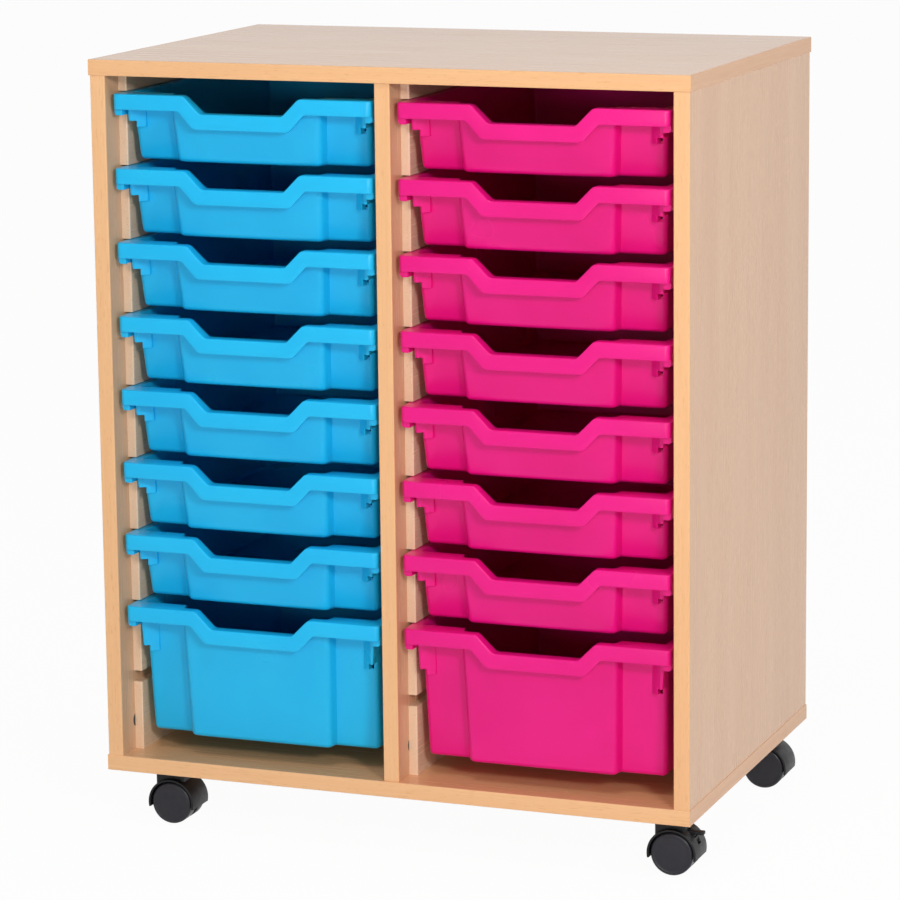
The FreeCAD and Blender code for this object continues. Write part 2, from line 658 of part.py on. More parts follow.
def tray(height, drop):
    """One tray with gussets of a given drop, its rim's top at Z = 0, centred in plan."""
    outer = tapered_body(0.0, height, 0.0, FLOOR_CHAMFER)
    inner = tapered_body(TRAY_WALL, height - TRAY_FLOOR, 1.0, FLOOR_CHAMFER)
    below_rim = under_line(DIP_TOP_HALF, DIP_BOTTOM_HALF, 0.0, -height - 1)
    solid = outer.common(below_rim).fuse(tray_rim())
    for sx in (-1, 1):
        solid = solid.fuse(stop_tab(sx)).fuse(corner_gusset(sx, drop))
    solid = solid.cut(inner)
    plan = Part.Face(round_rect(TRAY_WIDTH, TRAY_LENGTH, RIM_CORNER, -height - 1))
    solid = solid.common(plan.extrude(Vector(0, 0, height + 2)))
    solid = less(solid, [corner_slot(sx, height, drop) for sx in (-1, 1)])
    return solid.removeSplitter()


def tray_places():
    """Every tray's name, whether it is deep, X of its middle and Z of its rim's top."""
    places = []
    for column, x in (("left", -COLUMN_X), ("right", COLUMN_X)):
        for slot in range(SHALLOW_TRAYS + 1):
            z = slot_bottom(slot) + TRAY_REST_GAP + SIDE_LIP
            places.append((column + "_tray_" + str(slot + 1), slot == SHALLOW_TRAYS, x, z))
    return places


# ---------------------------------------------------------------- castor pieces, swivel axis at X = Y = 0
def hole_corners():
    """Middles of the plate's four screw holes."""
    half = PLATE_HOLE_SPACING / 2
    return [(sx * half, sy * half) for sx in (-1, 1) for sy in (-1, 1)]


def castor_plate():
    """Square mounting plate under the base."""
    half = PLATE_SIZE / 2
    plate = box(-half, half, -half, half, PLATE_Z, Z_BASE)
    plate = plate.makeFillet(PLATE_CORNER, edges_along(plate, Z_AXIS, lambda p: True))
    holes = [
        rod(PLATE_SCREW / 2 + PLATE_SCREW_FIT, Vector(x, y, PLATE_Z), Z_AXIS, PLATE_THICKNESS)
        for x, y in hole_corners()
    ]
    holes.append(rod(KINGPIN_DIAMETER / 2, Vector(0, 0, PLATE_Z), Z_AXIS, PLATE_THICKNESS))
    head = Vector(0, 0, Z_BASE - KINGPIN_HEAD)
    holes.append(rod(KINGPIN_HEAD_DIAMETER / 2, head, Z_AXIS, KINGPIN_HEAD))
    return less(plate, holes)


def plate_screw(x, y):
    """Pan-head screw from under the plate into the base."""
    under = PLATE_Z - PLATE_SCREW_HEAD_HEIGHT
    head = rod(PLATE_SCREW_HEAD / 2, Vector(x, y, under), Z_AXIS, PLATE_SCREW_HEAD_HEIGHT)
    head = head.makeFillet(0.8, [e for e in head.Edges if abs(e.CenterOfMass.z - under) < 0.1])
    shank = rod(PLATE_SCREW / 2, Vector(x, y, PLATE_Z), Z_AXIS, PLATE_SCREW_LENGTH)
    return join([head, shank])


def kingpin():
    """Pin held in the plate, with a snap groove near its end."""
    r = KINGPIN_DIAMETER / 2
    low = PLATE_Z - KINGPIN_DEPTH
    head = rod(KINGPIN_HEAD_DIAMETER / 2, Vector(0, 0, Z_BASE - KINGPIN_HEAD), Z_AXIS, KINGPIN_HEAD)
    shank = rod(r, Vector(0, 0, low), Z_AXIS, Z_BASE - KINGPIN_HEAD - low)
    groove = rod(r, Vector(0, 0, low + 3), Z_AXIS, 1.6)
    groove = groove.cut(rod(r - KINGPIN_GROOVE, Vector(0, 0, low + 3), Z_AXIS, 1.6))
    return join([head, shank]).cut(groove)


def axle():
    """Steel pin through the hood's web, a wheel on each end."""
    half = HOOD_WEB / 2 + (WHEEL_GAP - HOOD_WEB) / 2 + WHEEL_WIDTH - AXLE_END_CAP - AXLE_END_GAP
    return rod(AXLE_DIAMETER / 2, Vector(TRAIL, -half, AXLE_Z), Y_AXIS, 2 * half)


def wheel(side):
    """One of the two wheels: domed outer face towards side, hollow inner side with a hub."""
    r = WHEEL_DIAMETER / 2
    y_in = WHEEL_GAP / 2
    y_out = y_in + WHEEL_WIDTH
    s = WHEEL_SHOULDER
    k = s * (1 - cos(radians(45)))

    def at(radius, y):
        """Point of the wheel's section."""
        return Vector(TRAIL + radius, side * y, AXLE_Z)

    bore = AXLE_DIAMETER / 2 + RUNNING_FIT
    web = y_out - WHEEL_WEB
    face = r - s
    ball = (face ** 2 + WHEEL_DOME ** 2) / (2 * WHEEL_DOME)
    rise = WHEEL_DOME - ball + sqrt(ball ** 2 - face ** 2 / 4)
    points = [
        at(0, y_out + WHEEL_DOME),
        at(0, y_out - AXLE_END_CAP),
        at(bore, y_out - AXLE_END_CAP),
        at(bore, y_in),
        at(WHEEL_HUB_RADIUS, y_in),
        at(WHEEL_HUB_RADIUS, web),
        at(r - WHEEL_RIM, web),
        at(r - WHEEL_RIM, y_in),
        at(r, y_in),
        at(r, y_out - s),
    ]
    edges = [Part.makeLine(a, b) for a, b in zip(points, points[1:])]
    edges.append(arc(points[-1], at(r - k, y_out - k), at(face, y_out)))
    edges.append(arc(at(face, y_out), at(face / 2, y_out + rise), points[0]))
    section = Part.Face(Part.Wire(edges))
    return section.revolve(Vector(TRAIL, 0, AXLE_Z), Y_AXIS, 360)


def hood(braked):
    """Cover over both wheels: arched shell, middle web, saddle, collar and kingpin socket."""
    half = HOOD_WIDTH / 2
    centre = Vector(TRAIL, -half, AXLE_Z)
    r_in = HOOD_RADIUS - HOOD_WALL
    full = rod(HOOD_RADIUS, centre, Y_AXIS, HOOD_WIDTH)
    shell = full.cut(rod(r_in, centre, Y_AXIS, HOOD_WIDTH))
    web_start = Vector(TRAIL, -HOOD_WEB / 2, AXLE_Z)
    web = rod(r_in, web_start, Y_AXIS, HOOD_WEB)
    saddle_top = PLATE_Z - HOOD_SADDLE_TOP_GAP
    saddle_half = HOOD_SADDLE_WIDTH / 2
    saddle = box(TRAIL - HOOD_SADDLE_FRONT, TRAIL + HOOD_SADDLE_REAR, -saddle_half, saddle_half,
                 AXLE_Z + r_in / 2, saddle_top)
    saddle = saddle.makeFillet(3.0, edges_along(saddle, Z_AXIS, lambda p: True))
    saddle = saddle.cut(rod(r_in, centre, Y_AXIS, HOOD_WIDTH))
    collar_top = PLATE_Z - HOOD_COLLAR_GAP
    socket_low = PLATE_Z - SOCKET_DEPTH
    collar = rod(HOOD_COLLAR_DIAMETER / 2, Vector(0, 0, saddle_top - 6), Z_AXIS,
                 collar_top - saddle_top + 6)
    collar = collar.cut(rod(r_in, centre, Y_AXIS, HOOD_WIDTH))
    socket = rod(SOCKET_DIAMETER / 2, Vector(0, 0, socket_low), Z_AXIS, collar_top - socket_low)
    whole = join([shell, web, saddle, collar, socket])
    open_below = box(TRAIL - HOOD_RADIUS, TRAIL + HOOD_RADIUS, -half, half,
                     AXLE_Z - HOOD_RADIUS, AXLE_Z - HOOD_DROP)
    r_hole = KINGPIN_DIAMETER / 2 + RUNNING_FIT
    low = PLATE_Z - KINGPIN_DEPTH - KINGPIN_END_GAP
    room = half - HOOD_WEB / 2
    cuts = [
        open_below,
        rod(r_in, Vector(TRAIL, HOOD_WEB / 2, AXLE_Z), Y_AXIS, room),
        rod(r_in, Vector(TRAIL, -HOOD_WEB / 2, AXLE_Z), -Y_AXIS, room),
        rod(r_hole, Vector(0, 0, low), Z_AXIS, collar_top - low),
        rod(AXLE_DIAMETER / 2, web_start, Y_AXIS, HOOD_WEB),
    ]
    if braked:
        cuts += brake_spaces()
    return less(whole, cuts)


# ---------------------------------------------------------------- brake
def brake_shoe(play, travel):
    """Bar that bears on both wheels, with some play round it and room towards the wheels."""
    half = BRAKE_SHOE_WIDTH / 2 + play
    long = BRAKE_SHOE_LENGTH / 2 + play
    low = BRAKE_SHOE_RADIUS - play - travel
    high = BRAKE_SHOE_RADIUS + BRAKE_SHOE_DEPTH + 3 * play
    bar = box(TRAIL + low, TRAIL + high, -half, half, AXLE_Z - long, AXLE_Z + long)
    bar.rotate(Vector(TRAIL, 0, AXLE_Z), -Y_AXIS, BRAKE_SHOE_ANGLE)
    return bar


def brake_pivot(radius, half):
    """Round bar along the pedal's pivot."""
    start = Vector(TRAIL + BRAKE_PIN_X, -half, AXLE_Z + BRAKE_PIN_Z)
    return rod(radius, start, Y_AXIS, 2 * half)


def brake_spaces():
    """Openings in a hood for the pedal, its swing, its shoe and its pivot."""
    half = BRAKE_WIDTH / 2 + BRAKE_PLAY
    x0 = TRAIL + BRAKE_PIN_X - BRAKE_HUB_RADIUS - BRAKE_TRAVEL
    x1 = TRAIL + HOOD_RADIUS
    top = AXLE_Z + BRAKE_PIN_Z + BRAKE_HUB_RADIUS + BRAKE_PLAY
    pad_low = AXLE_Z + BRAKE_PAD_TOP - 2 * BRAKE_PAD_THICKNESS
    slot_low = AXLE_Z + BRAKE_SLOT_LOW
    stub = BRAKE_WIDTH / 2 + BRAKE_PIN_LENGTH + BRAKE_PLAY
    return [
        box(x0, x1, -half, half, pad_low, top),
        box(x1 - 2 * HOOD_WALL, x1, -half, half, slot_low, pad_low),
        brake_shoe(BRAKE_PLAY, BRAKE_TRAVEL),
        brake_pivot(BRAKE_PIN_RADIUS + RUNNING_FIT, stub),
    ]


def brake_pedal():
    """Pedal with its pivot stubs, hub, arm, pad and shoe."""
    half = BRAKE_WIDTH / 2
    pin_x, pin_z = TRAIL + BRAKE_PIN_X, AXLE_Z + BRAKE_PIN_Z
    pad_top = AXLE_Z + BRAKE_PAD_TOP
    pad_low = pad_top - BRAKE_PAD_THICKNESS
    tip = TRAIL + BRAKE_TIP_X
    pad = box(pin_x, tip, -half, half, pad_low, pad_top)
    pad = pad.makeFillet(2.5, edges_along(pad, Z_AXIS, lambda p: p.x > tip - 1))
    reach = BRAKE_HUB_RADIUS
    arm = box(pin_x - reach, pin_x + reach, -half, half, pad_low, pin_z)
    stubs = brake_pivot(BRAKE_PIN_RADIUS, half + BRAKE_PIN_LENGTH)
    return join([pad, arm, brake_pivot(BRAKE_HUB_RADIUS, half), stubs, brake_shoe(0.0, 0.0)])


# ---------------------------------------------------------------- castor places
def castor_places():
    """Name, place and brake of every castor."""
    return (
        ("front_left", -CASTOR_X, -CASTOR_Y, False),
        ("front_right", CASTOR_X, -CASTOR_Y, True),
        ("rear_left", -CASTOR_X, CASTOR_Y, True),
        ("rear_right", CASTOR_X, CASTOR_Y, False),
    )


def moved(shape, x, y, z):
    """Copy of a shape at another place."""
    copy = shape.copy()
    copy.translate(Vector(x, y, z))
    return copy


# ---------------------------------------------------------------- nodes
def save_case():
    """Panels, edging, runners, back and fasteners."""
    left, right = -SIDE_X + BOARD / 2, SIDE_X - BOARD / 2
    save("top_panel", level_panel(TOP_OVERHANG, Z_CEILING, Z_CEILING, -1))
    base = level_panel(BASE_OVERHANG, Z_BASE, Z_FLOOR, 1)
    save("base_panel", less(base, castor_screw_holes()))
    save("left_side_panel", upright_panel(left, Y_FRONT, Y_BACK))
    save("right_side_panel", upright_panel(right, Y_FRONT, Y_BACK))
    save("centre_divider", upright_panel(0.0, Y_DIVIDER, Y_BACK_PANEL).cut(back_screw_holes()))
    save("back_panel", back_panel())
    save_group("top_edging", level_bands(TOP_OVERHANG, Z_CEILING))
    save_group("base_edging", level_bands(BASE_OVERHANG, Z_BASE))
    save("left_side_edging", upright_band(left, Y_FRONT))
    save("right_side_edging", upright_band(right, Y_FRONT))
    save("divider_edging", upright_band(0.0, Y_DIVIDER))
    save_group("left_side_runners", runner_strip(-SIDE_X + BOARD, 1))
    save_group("divider_left_runners", runner_strip(-BOARD / 2, -1))
    save_group("divider_right_runners", runner_strip(BOARD / 2, 1))
    save_group("right_side_runners", runner_strip(SIDE_X - BOARD, -1))
    cams, bolts, dowels = case_fasteners()
    save_group("cam_fittings", cams)
    save_group("cam_bolts", bolts)
    save_group("case_dowels", dowels)
    save_group("back_panel_screws", [back_screw(z) for z in back_screw_heights()])


def castor_screw_holes():
    """Holes in the base for the castor plates' screws."""
    depth = PLATE_SCREW_LENGTH - PLATE_THICKNESS
    places = [(x + hx, y + hy) for _, x, y, _ in castor_places() for hx, hy in hole_corners()]
    return [rod(PLATE_SCREW / 2, Vector(x, y, Z_BASE), Z_AXIS, depth) for x, y in places]


def back_screw_holes():
    """Pilot holes for the back panel's screws, as one shape."""
    return Part.makeCompound([back_screw(z) for z in back_screw_heights()])


def save_trays():
    """Seven shallow trays over a deep one, in each column."""
    shallow = tray(SHALLOW_HEIGHT, SHALLOW_GUSSET)
    deep = tray(DEEP_HEIGHT, DEEP_GUSSET)
    for name, is_deep, x, z in tray_places():
        save(name, moved(deep if is_deep else shallow, x, TRAY_Y, z))


def save_castors():
    """Four twin-wheel castors, two with a brake."""
    plain_hood, braked_hood = hood(False), hood(True)
    screws, pins = [], []
    for name, x, y, braked in castor_places():
        save(name + "_castor_plate", moved(castor_plate(), x, y, 0))
        save(name + "_castor_hood", moved(braked_hood if braked else plain_hood, x, y, 0))
        save(name + "_castor_axle", moved(axle(), x, y, 0))
        save(name + "_front_wheel", moved(wheel(-1), x, y, 0))
        save(name + "_back_wheel", moved(wheel(1), x, y, 0))
        screws += [moved(plate_screw(hx, hy), x, y, 0) for hx, hy in hole_corners()]
        pins.append(moved(kingpin(), x, y, 0))
        if braked:
            save(name + "_brake_pedal", moved(brake_pedal(), x, y, 0))
    save_group("castor_screws", screws)
    save_group("castor_kingpins", pins)


os.makedirs("parts", exist_ok=True)
save_case()
save_trays()
save_castors()
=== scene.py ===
import bmesh
import bpy
from math import atan2, cos, pi, radians, sin, sqrt, tan
from mathutils import Matrix, Vector


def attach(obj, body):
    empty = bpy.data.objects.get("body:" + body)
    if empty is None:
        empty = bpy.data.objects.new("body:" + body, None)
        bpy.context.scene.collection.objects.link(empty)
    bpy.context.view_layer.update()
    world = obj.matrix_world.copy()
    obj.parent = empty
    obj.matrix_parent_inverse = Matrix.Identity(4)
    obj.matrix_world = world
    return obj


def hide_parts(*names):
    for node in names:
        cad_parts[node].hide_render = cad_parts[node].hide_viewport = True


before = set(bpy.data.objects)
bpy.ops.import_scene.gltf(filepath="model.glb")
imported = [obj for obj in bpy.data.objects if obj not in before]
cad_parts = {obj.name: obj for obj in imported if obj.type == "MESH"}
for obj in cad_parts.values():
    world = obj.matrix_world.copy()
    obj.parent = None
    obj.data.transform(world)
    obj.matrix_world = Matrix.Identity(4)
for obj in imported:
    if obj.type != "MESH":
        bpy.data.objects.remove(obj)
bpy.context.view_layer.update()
MM = 0.001

# ------------------------------------------------------------ the unit's own sizes, in millimetres
SIDE_X = 350.5  # outer face of a side board
Y_FRONT = -233.5
Y_BACK = 233.5
Z_CEILING = 872.0  # underside of the top board
COLUMN_X = 170.75  # middle of a column of trays
TOP_RAIL = 20.0
SLOT_GAP = 13.0
SLOT_PITCH = 84.0
RIM_PLAY = 0.3  # between a lip and the rail it rests on
TRAY_WIDTH = 312.0
TRAY_LENGTH = 427.0
TRAY_SETBACK = 6.0
SIDE_LIP = 12.0
FRONT_LIP = 17.5
TRAY_Y = Y_FRONT + TRAY_SETBACK + TRAY_LENGTH / 2
RIM_TOP = Z_CEILING - TOP_RAIL - SLOT_GAP + RIM_PLAY + SIDE_LIP
SHALLOW = 76.5
DEEP = 153.0
TRAYS_IN_COLUMN = 8
CASTOR_X = SIDE_X - 46.5
CASTOR_Y = Y_BACK - 54.0
TRAIL = 15.0  # axle behind the swivel axis
AXLE_Z = 24.5


# ------------------------------------------------------------ modelling helpers
def begin(add, **settings):
    """Add a primitive and go into edit mode on it, with nothing selected."""
    bpy.ops.object.select_all(action="DESELECT")
    add(**settings)
    bpy.ops.object.transform_apply(location=True, rotation=True, scale=True)
    bpy.ops.object.mode_set(mode="EDIT")
    bpy.ops.mesh.select_mode(type="VERT")
    bpy.ops.mesh.select_all(action="DESELECT")


def end(name):
    """Leave edit mode and name the piece."""
    bpy.ops.object.mode_set(mode="OBJECT")
    piece = bpy.context.object
    piece.name = name
    piece.data.name = name
    return piece


def pick(kind, test):
    """Select only the vertices, edges or faces whose middle, in millimetres, passes the test."""
    bpy.ops.mesh.select_mode(type={"verts": "VERT", "edges": "EDGE", "faces": "FACE"}[kind])
    bpy.ops.mesh.select_all(action="DESELECT")
    mesh = bmesh.from_edit_mesh(bpy.context.object.data)
    count = 0
    for part in getattr(mesh, kind):
        if kind == "verts":
            place = part.co
        elif kind == "edges":
            place = (part.verts[0].co + part.verts[1].co) / 2
        else:
            place = part.calc_center_median()
        if test(place / MM, part):
            part.select_set(True)
            count += 1
    mesh.select_flush_mode()
    bmesh.update_edit_mesh(bpy.context.object.data)
    return count


def shift(x=0.0, y=0.0, z=0.0):
    """Move what is selected, in millimetres."""
    bpy.ops.transform.translate(value=(x * MM, y * MM, z * MM))


def extrude_edges(y=0.0, z=0.0):
    """Draw faces out of the selected edges, in millimetres."""
    bpy.ops.mesh.extrude_edges_move(TRANSFORM_OT_translate={"value": (0, y * MM, z * MM)})


def grow_from(centre, factor):
    """Scale what is selected about a point in millimetres."""
    bpy.ops.transform.resize(value=factor, center_override=tuple(c * MM for c in centre))


def cut(axis, place):
    """Cut the whole mesh by a plane across an axis."""
    bpy.ops.mesh.select_all(action="SELECT")
    normal = Vector([1.0 if axis == a else 0.0 for a in "xyz"])
    bpy.ops.mesh.bisect(plane_co=normal * place * MM, plane_no=normal)


def round_edges(test, radius, steps):
    """Round the edges that pass a test."""
    if pick("edges", test):
        bpy.ops.mesh.bevel(offset=radius * MM, segments=steps, profile=0.5, affect="EDGES",
                           clamp_overlap=False)


def modify(piece, kind, **settings):
    """Add a modifier to a piece and apply it."""
    bpy.context.view_layer.objects.active = piece
    modifier = piece.modifiers.new(kind.title(), kind)
    for key, value in settings.items():
        setattr(modifier, key, value)
    bpy.ops.object.modifier_apply(modifier=modifier.name)


def soften(piece, radius, steps, degrees=35):
    """Round every sharp edge of a finished shape."""
    modify(piece, "BEVEL", width=radius * MM, segments=steps, limit_method="ANGLE",
           angle_limit=radians(degrees), use_clamp_overlap=False, harden_normals=False)


def smooth(piece, degrees=40):
    """Shade a piece smooth, but for edges sharper than an angle."""
    bpy.ops.object.select_all(action="DESELECT")
    piece.select_set(True)
    bpy.context.view_layer.objects.active = piece
    bpy.ops.object.shade_smooth_by_angle(angle=radians(degrees))


def block(name, x, y, z, radius, steps=2):
    """Block with soft edges between two limits on each axis."""
    size = tuple((b - a) * MM for a, b in (x, y, z))
    middle = tuple((a + b) / 2 * MM for a, b in (x, y, z))
    begin(bpy.ops.mesh.primitive_cube_add, size=1, location=middle, scale=size)
    if radius:
        round_edges(lambda p, e: True, radius, steps)
    return end(name)


def copy_of(master, name, place, half_turn=False):
    """Copy of a master with its own mesh, moved to its place in millimetres."""
    piece = master.copy()
    piece.data = master.data.copy()
    piece.name = name
    piece.data.name = name
    bpy.context.scene.collection.objects.link(piece)
    turn = Matrix.Rotation(pi, 4, "Z") if half_turn else Matrix.Identity(4)
    piece.data.transform(Matrix.Translation(Vector(place) * MM) @ turn)
    return piece


# ------------------------------------------------------------ tray
WALL = 2.5
RIM_CORNER = 6.0
BODY_CORNER = 6.0
BODY_HALF = 145.0
TAPER = 4.5  # the sides lean in by this much down to the floor
FRONT_TAPER = 10.0
LABEL_HALF = 91.5
LABEL_FOOT = 3.0  # the label face's side spreads by this much at its foot
LABEL_Y = 10.5 - TRAY_LENGTH / 2
LABEL_ROUND = 4.5
RECESS_Y = 25.0 - TRAY_LENGTH / 2
REAR_Y = TRAY_LENGTH / 2 - 22.0
FLOOR_ROUND = 3.0
RIM_ROUND = 1.7
EDGE_ROUND = 0.8
LIP_STEP = 17.0  # the lip is deeper up to here from the front
DIP_DEPTH = 20.0
DIP_ROUND = 8.0
DIP_STEPS = 4

SHALLOW_GUSSET = 31.5
DEEP_GUSSET = 49.0
GUSSET_INNER, GUSSET_OUTER = 127.0, 146.0
GUSSET_Y = 15.5 - TRAY_LENGTH / 2
GUSSET_DEPTH = 20.0
GUSSET_KNEE = 140.0  # the gusset's front runs straight from here outwards
GUSSET_SLANT = 11.0
GUSSET_LEAN = 0.08
GUSSET_NOTCH = 135.5  # the gusset is shorter from here outwards
GUSSET_STEP = 7.5
GUSSET_ROUND = 0.9
GUSSET_TOP = -1.25
CORNER_SLOT = (135.6, 138.5)
CORNER_SLOT_HEIGHT = 6.5
CORNER_SLOT_BELOW = 1.0
TAB_INNER, TAB_OUTER = 146.6, 155.9
TAB_START, TAB_END = 5.0, 28.5
TAB_TOP, TAB_LOW = -1.3, -24.5
TAB_ROUND = 3.5


def dip_line(top_half, bottom_half):
    """Points of the hand dip's line on one side, from the rim down to its flat bottom."""
    slope = atan2(DIP_DEPTH, top_half - bottom_half)
    t = DIP_ROUND * tan(slope / 2)
    angles = [slope * k / DIP_STEPS for k in range(DIP_STEPS + 1)]
    upper = [(top_half + t - DIP_ROUND * sin(a), DIP_ROUND * (cos(a) - 1)) for a in angles]
    lower = [(bottom_half - t + DIP_ROUND * sin(a), DIP_ROUND * (1 - cos(a)) - DIP_DEPTH)
             for a in reversed(angles)]
    return upper + lower


# half widths at the top and at the bottom
RIM_DIP = dip_line(69.5, 49.5)
LIP_DIP = dip_line(76.0, 57.5)


def near(a, b):
    """Two lengths are the same to a fiftieth of a millimetre."""
    return abs(a - b) < 0.02


def is_rim_edge(edge):
    """Edge between the rim's upper side and the lip's outer side."""
    if len(edge.link_faces) != 2:
        return False
    flat, upright = sorted(edge.link_faces, key=lambda f: -f.normal.z)
    middle = (edge.verts[0].co + edge.verts[1].co) / 2
    return flat.normal.z > 0.5 and abs(upright.normal.z) < 0.3 and upright.normal.dot(middle) > 0


def tray_skin(height):
    """Upper skin of a tray: floor, walls, rim and lip as one surface, rim's top at Z = 0."""
    floor_z = WALL - height
    half = BODY_HALF - WALL
    y0, y1 = RECESS_Y + WALL, REAR_Y - WALL
    middle = (0, (y0 + y1) / 2, floor_z)
    begin(bpy.ops.mesh.primitive_plane_add, size=MM, location=tuple(c * MM for c in middle))
    bpy.ops.mesh.select_all(action="SELECT")
    grow_from(middle, (2 * half, y1 - y0, 1))
    label = LABEL_HALF - WALL
    foot = label + LABEL_FOOT
    for x in [foot] + [x for x, _ in RIM_DIP]:
        cut("x", x)
        cut("x", -x)
    # the label face's floor stands out in front
    pick("edges", lambda p, e: near(p.y, y0) and abs(p.x) < foot)
    extrude_edges(y=LABEL_Y - RECESS_Y)
    for sx in (-1, 1):
        pick("verts", lambda p, v: p.y < y0 - 1 and near(p.x, sx * foot))
        shift(x=-sx * LABEL_FOOT)
    # walls
    pick("edges", lambda p, e: len(e.link_faces) == 1)
    extrude_edges(z=height - WALL)
    # the walls lean in towards the floor
    low = lambda p: p.z < floor_z + 1
    for sx in (-1, 1):
        pick("verts", lambda p, v: low(p) and p.x * sx > half - 1)
        shift(x=-sx * TAPER)
        pick("verts", lambda p, v: low(p) and label - 1 < p.x * sx < foot + 1)
        shift(x=-sx * TAPER)
    pick("verts", lambda p, v: low(p) and p.y < 0)
    shift(y=FRONT_TAPER)
    pick("verts", lambda p, v: low(p) and p.y > 0)
    shift(y=-TAPER)
    # round the upright corners, then the floor
    upright = lambda e: abs(e.verts[0].co.z - e.verts[1].co.z) > (height - 5) * MM
    at_corner = lambda p, e: upright(e) and abs(p.x) > half - TAPER - 1
    at_label = lambda p, e: upright(e) and p.y < 0 and near(abs(p.x), label - TAPER / 2)
    round_edges(at_corner, BODY_CORNER - WALL, 6)
    round_edges(at_label, LABEL_ROUND, 5)
    edge_of_floor = lambda e: sum(1 for f in e.link_faces if abs(f.normal.z) > 0.9) == 1
    round_edges(lambda p, e: low(p) and len(e.link_faces) == 2 and edge_of_floor(e), FLOOR_ROUND, 4)
    # rim: the walls' upper edge goes out to the rim's outline, raised meanwhile to tell it apart
    up = 20.0
    pick("edges", lambda p, e: near(p.z, 0) and len(e.link_faces) == 1)
    extrude_edges(z=up)
    raised = lambda p: p.z > up - 1
    arc_in = BODY_CORNER - WALL
    straight = half - arc_in - 0.05
    front, back = -TRAY_LENGTH / 2, TRAY_LENGTH / 2
    pick("verts", lambda p, v: raised(p) and p.y < 0 and abs(p.x) < straight)
    grow_from((0, front, up), (1, 0, 1))
    pick("verts", lambda p, v: raised(p) and p.y > 0 and abs(p.x) < straight)
    grow_from((0, back, up), (1, 0, 1))
    for sx in (-1, 1):
        for sy, y_wall, y_rim in ((-1, y0, front), (1, y1, back)):
            centre = (sx * (half - arc_in), y_wall - sy * arc_in, up)
            pick("verts", lambda p, v: raised(p) and p.x * sx > straight and p.y * sy > 0)
            grow_from(centre, (RIM_CORNER / arc_in, RIM_CORNER / arc_in, 1))
            shift(x=sx * (TRAY_WIDTH / 2 - RIM_CORNER) - centre[0],
                  y=y_rim - sy * RIM_CORNER - centre[1])
    pick("verts", lambda p, v: raised(p))
    shift(z=-up)
    # lip: deeper at the front than along the sides and the back
    step_y = front + LIP_STEP
    pick("edges", lambda p, e: near(abs(p.x), TRAY_WIDTH / 2) and e.calc_length() > 0.3)
    bpy.ops.mesh.subdivide(number_cuts=1)
    pick("verts", lambda p, v: near(abs(p.x), TRAY_WIDTH / 2) and near(p.y, 0))
    shift(y=step_y)
    pick("edges", lambda p, e: near(p.z, 0) and len(e.link_faces) == 1)
    extrude_edges(z=-SIDE_LIP)
    pick("edges", lambda p, e: (near(p.z, -SIDE_LIP) and len(e.link_faces) == 1
                                and p.y < step_y - 0.1))
    extrude_edges(z=SIDE_LIP - FRONT_LIP)
    # hand dip in the front, wider along the lip's lower edge
    for (x, z), (x_lip, z_lip) in zip(RIM_DIP, LIP_DIP):
        column = lambda p: near(abs(p.x), x) and p.y < LABEL_Y + WALL + 0.1
        for row, share in ((-FRONT_LIP, 1.0), (-SIDE_LIP, SIDE_LIP / FRONT_LIP)):
            for sx in (-1, 1):
                pick("verts", lambda p, v: column(p) and near(p.z, row) and p.x * sx > 0)
                shift(x=sx * (x_lip - x) * share, z=z + (z_lip - z) * share)
        pick("verts", lambda p, v: column(p) and near(p.z, 0) and near(p.y, front))
        shift(z=z)
        pick("verts", lambda p, v: column(p) and near(p.z, 0) and p.y > front + 1)
        shift(y=-FRONT_TAPER * z / (height - WALL), z=z)
    bpy.ops.mesh.select_all(action="SELECT")
    bpy.ops.mesh.remove_doubles(threshold=0.01 * MM)
    bpy.ops.mesh.normals_make_consistent(inside=False)
    if pick("faces", lambda p, f: near(p.z, floor_z) and f.normal.z < -0.9 and abs(p.x) < 40):
        bpy.ops.mesh.select_all(action="SELECT")
        bpy.ops.mesh.flip_normals()
    skin = end("tray_skin")
    modify(skin, "SOLIDIFY", thickness=WALL * MM, offset=-1, use_even_offset=True)
    bpy.ops.object.mode_set(mode="EDIT")
    outside = lambda p: (abs(p.x) > TRAY_WIDTH / 2 - RIM_CORNER
                         or abs(p.y) > TRAY_LENGTH / 2 - RIM_CORNER)
    round_edges(lambda p, e: outside(p) and is_rim_edge(e), RIM_ROUND, 4)
    end("tray_skin")
    soften(skin, EDGE_ROUND, 3)
    return skin


def carve(piece, operation, tool):
    """Add a tool's solid to a piece or cut it out, and remove the tool."""
    modify(piece, "BOOLEAN", operation=operation, solver="EXACT", object=tool)
    bpy.data.objects.remove(tool)
    modify(piece, "WELD", merge_threshold=0.015 * MM)


def hollow_body(height):
    """Solid that fills the inside of a tray's body, but for its label face."""
    half, y0 = BODY_HALF - WALL - 0.1, RECESS_Y + WALL + 0.1
    block("inside", (-half, half), (y0, 0.0), (WALL - height, 0.0), 0)
    bpy.ops.object.mode_set(mode="EDIT")
    low = lambda p: p.z < -1
    for sx in (-1, 1):
        pick("verts", lambda p, v: low(p) and p.x * sx > 0)
        shift(x=-sx * TAPER)
    pick("verts", lambda p, v: low(p) and p.y < -1)
    shift(y=FRONT_TAPER)
    upright = lambda e: abs(e.verts[0].co.z - e.verts[1].co.z) > 5 * MM
    round_edges(lambda p, e: upright(e) and p.y < -1, BODY_CORNER - WALL, 6)
    return end("inside")


def between(sx, inner, outer):
    """Limits along X of a shape on one side of the tray."""
    return sorted((sx * inner, sx * outer))


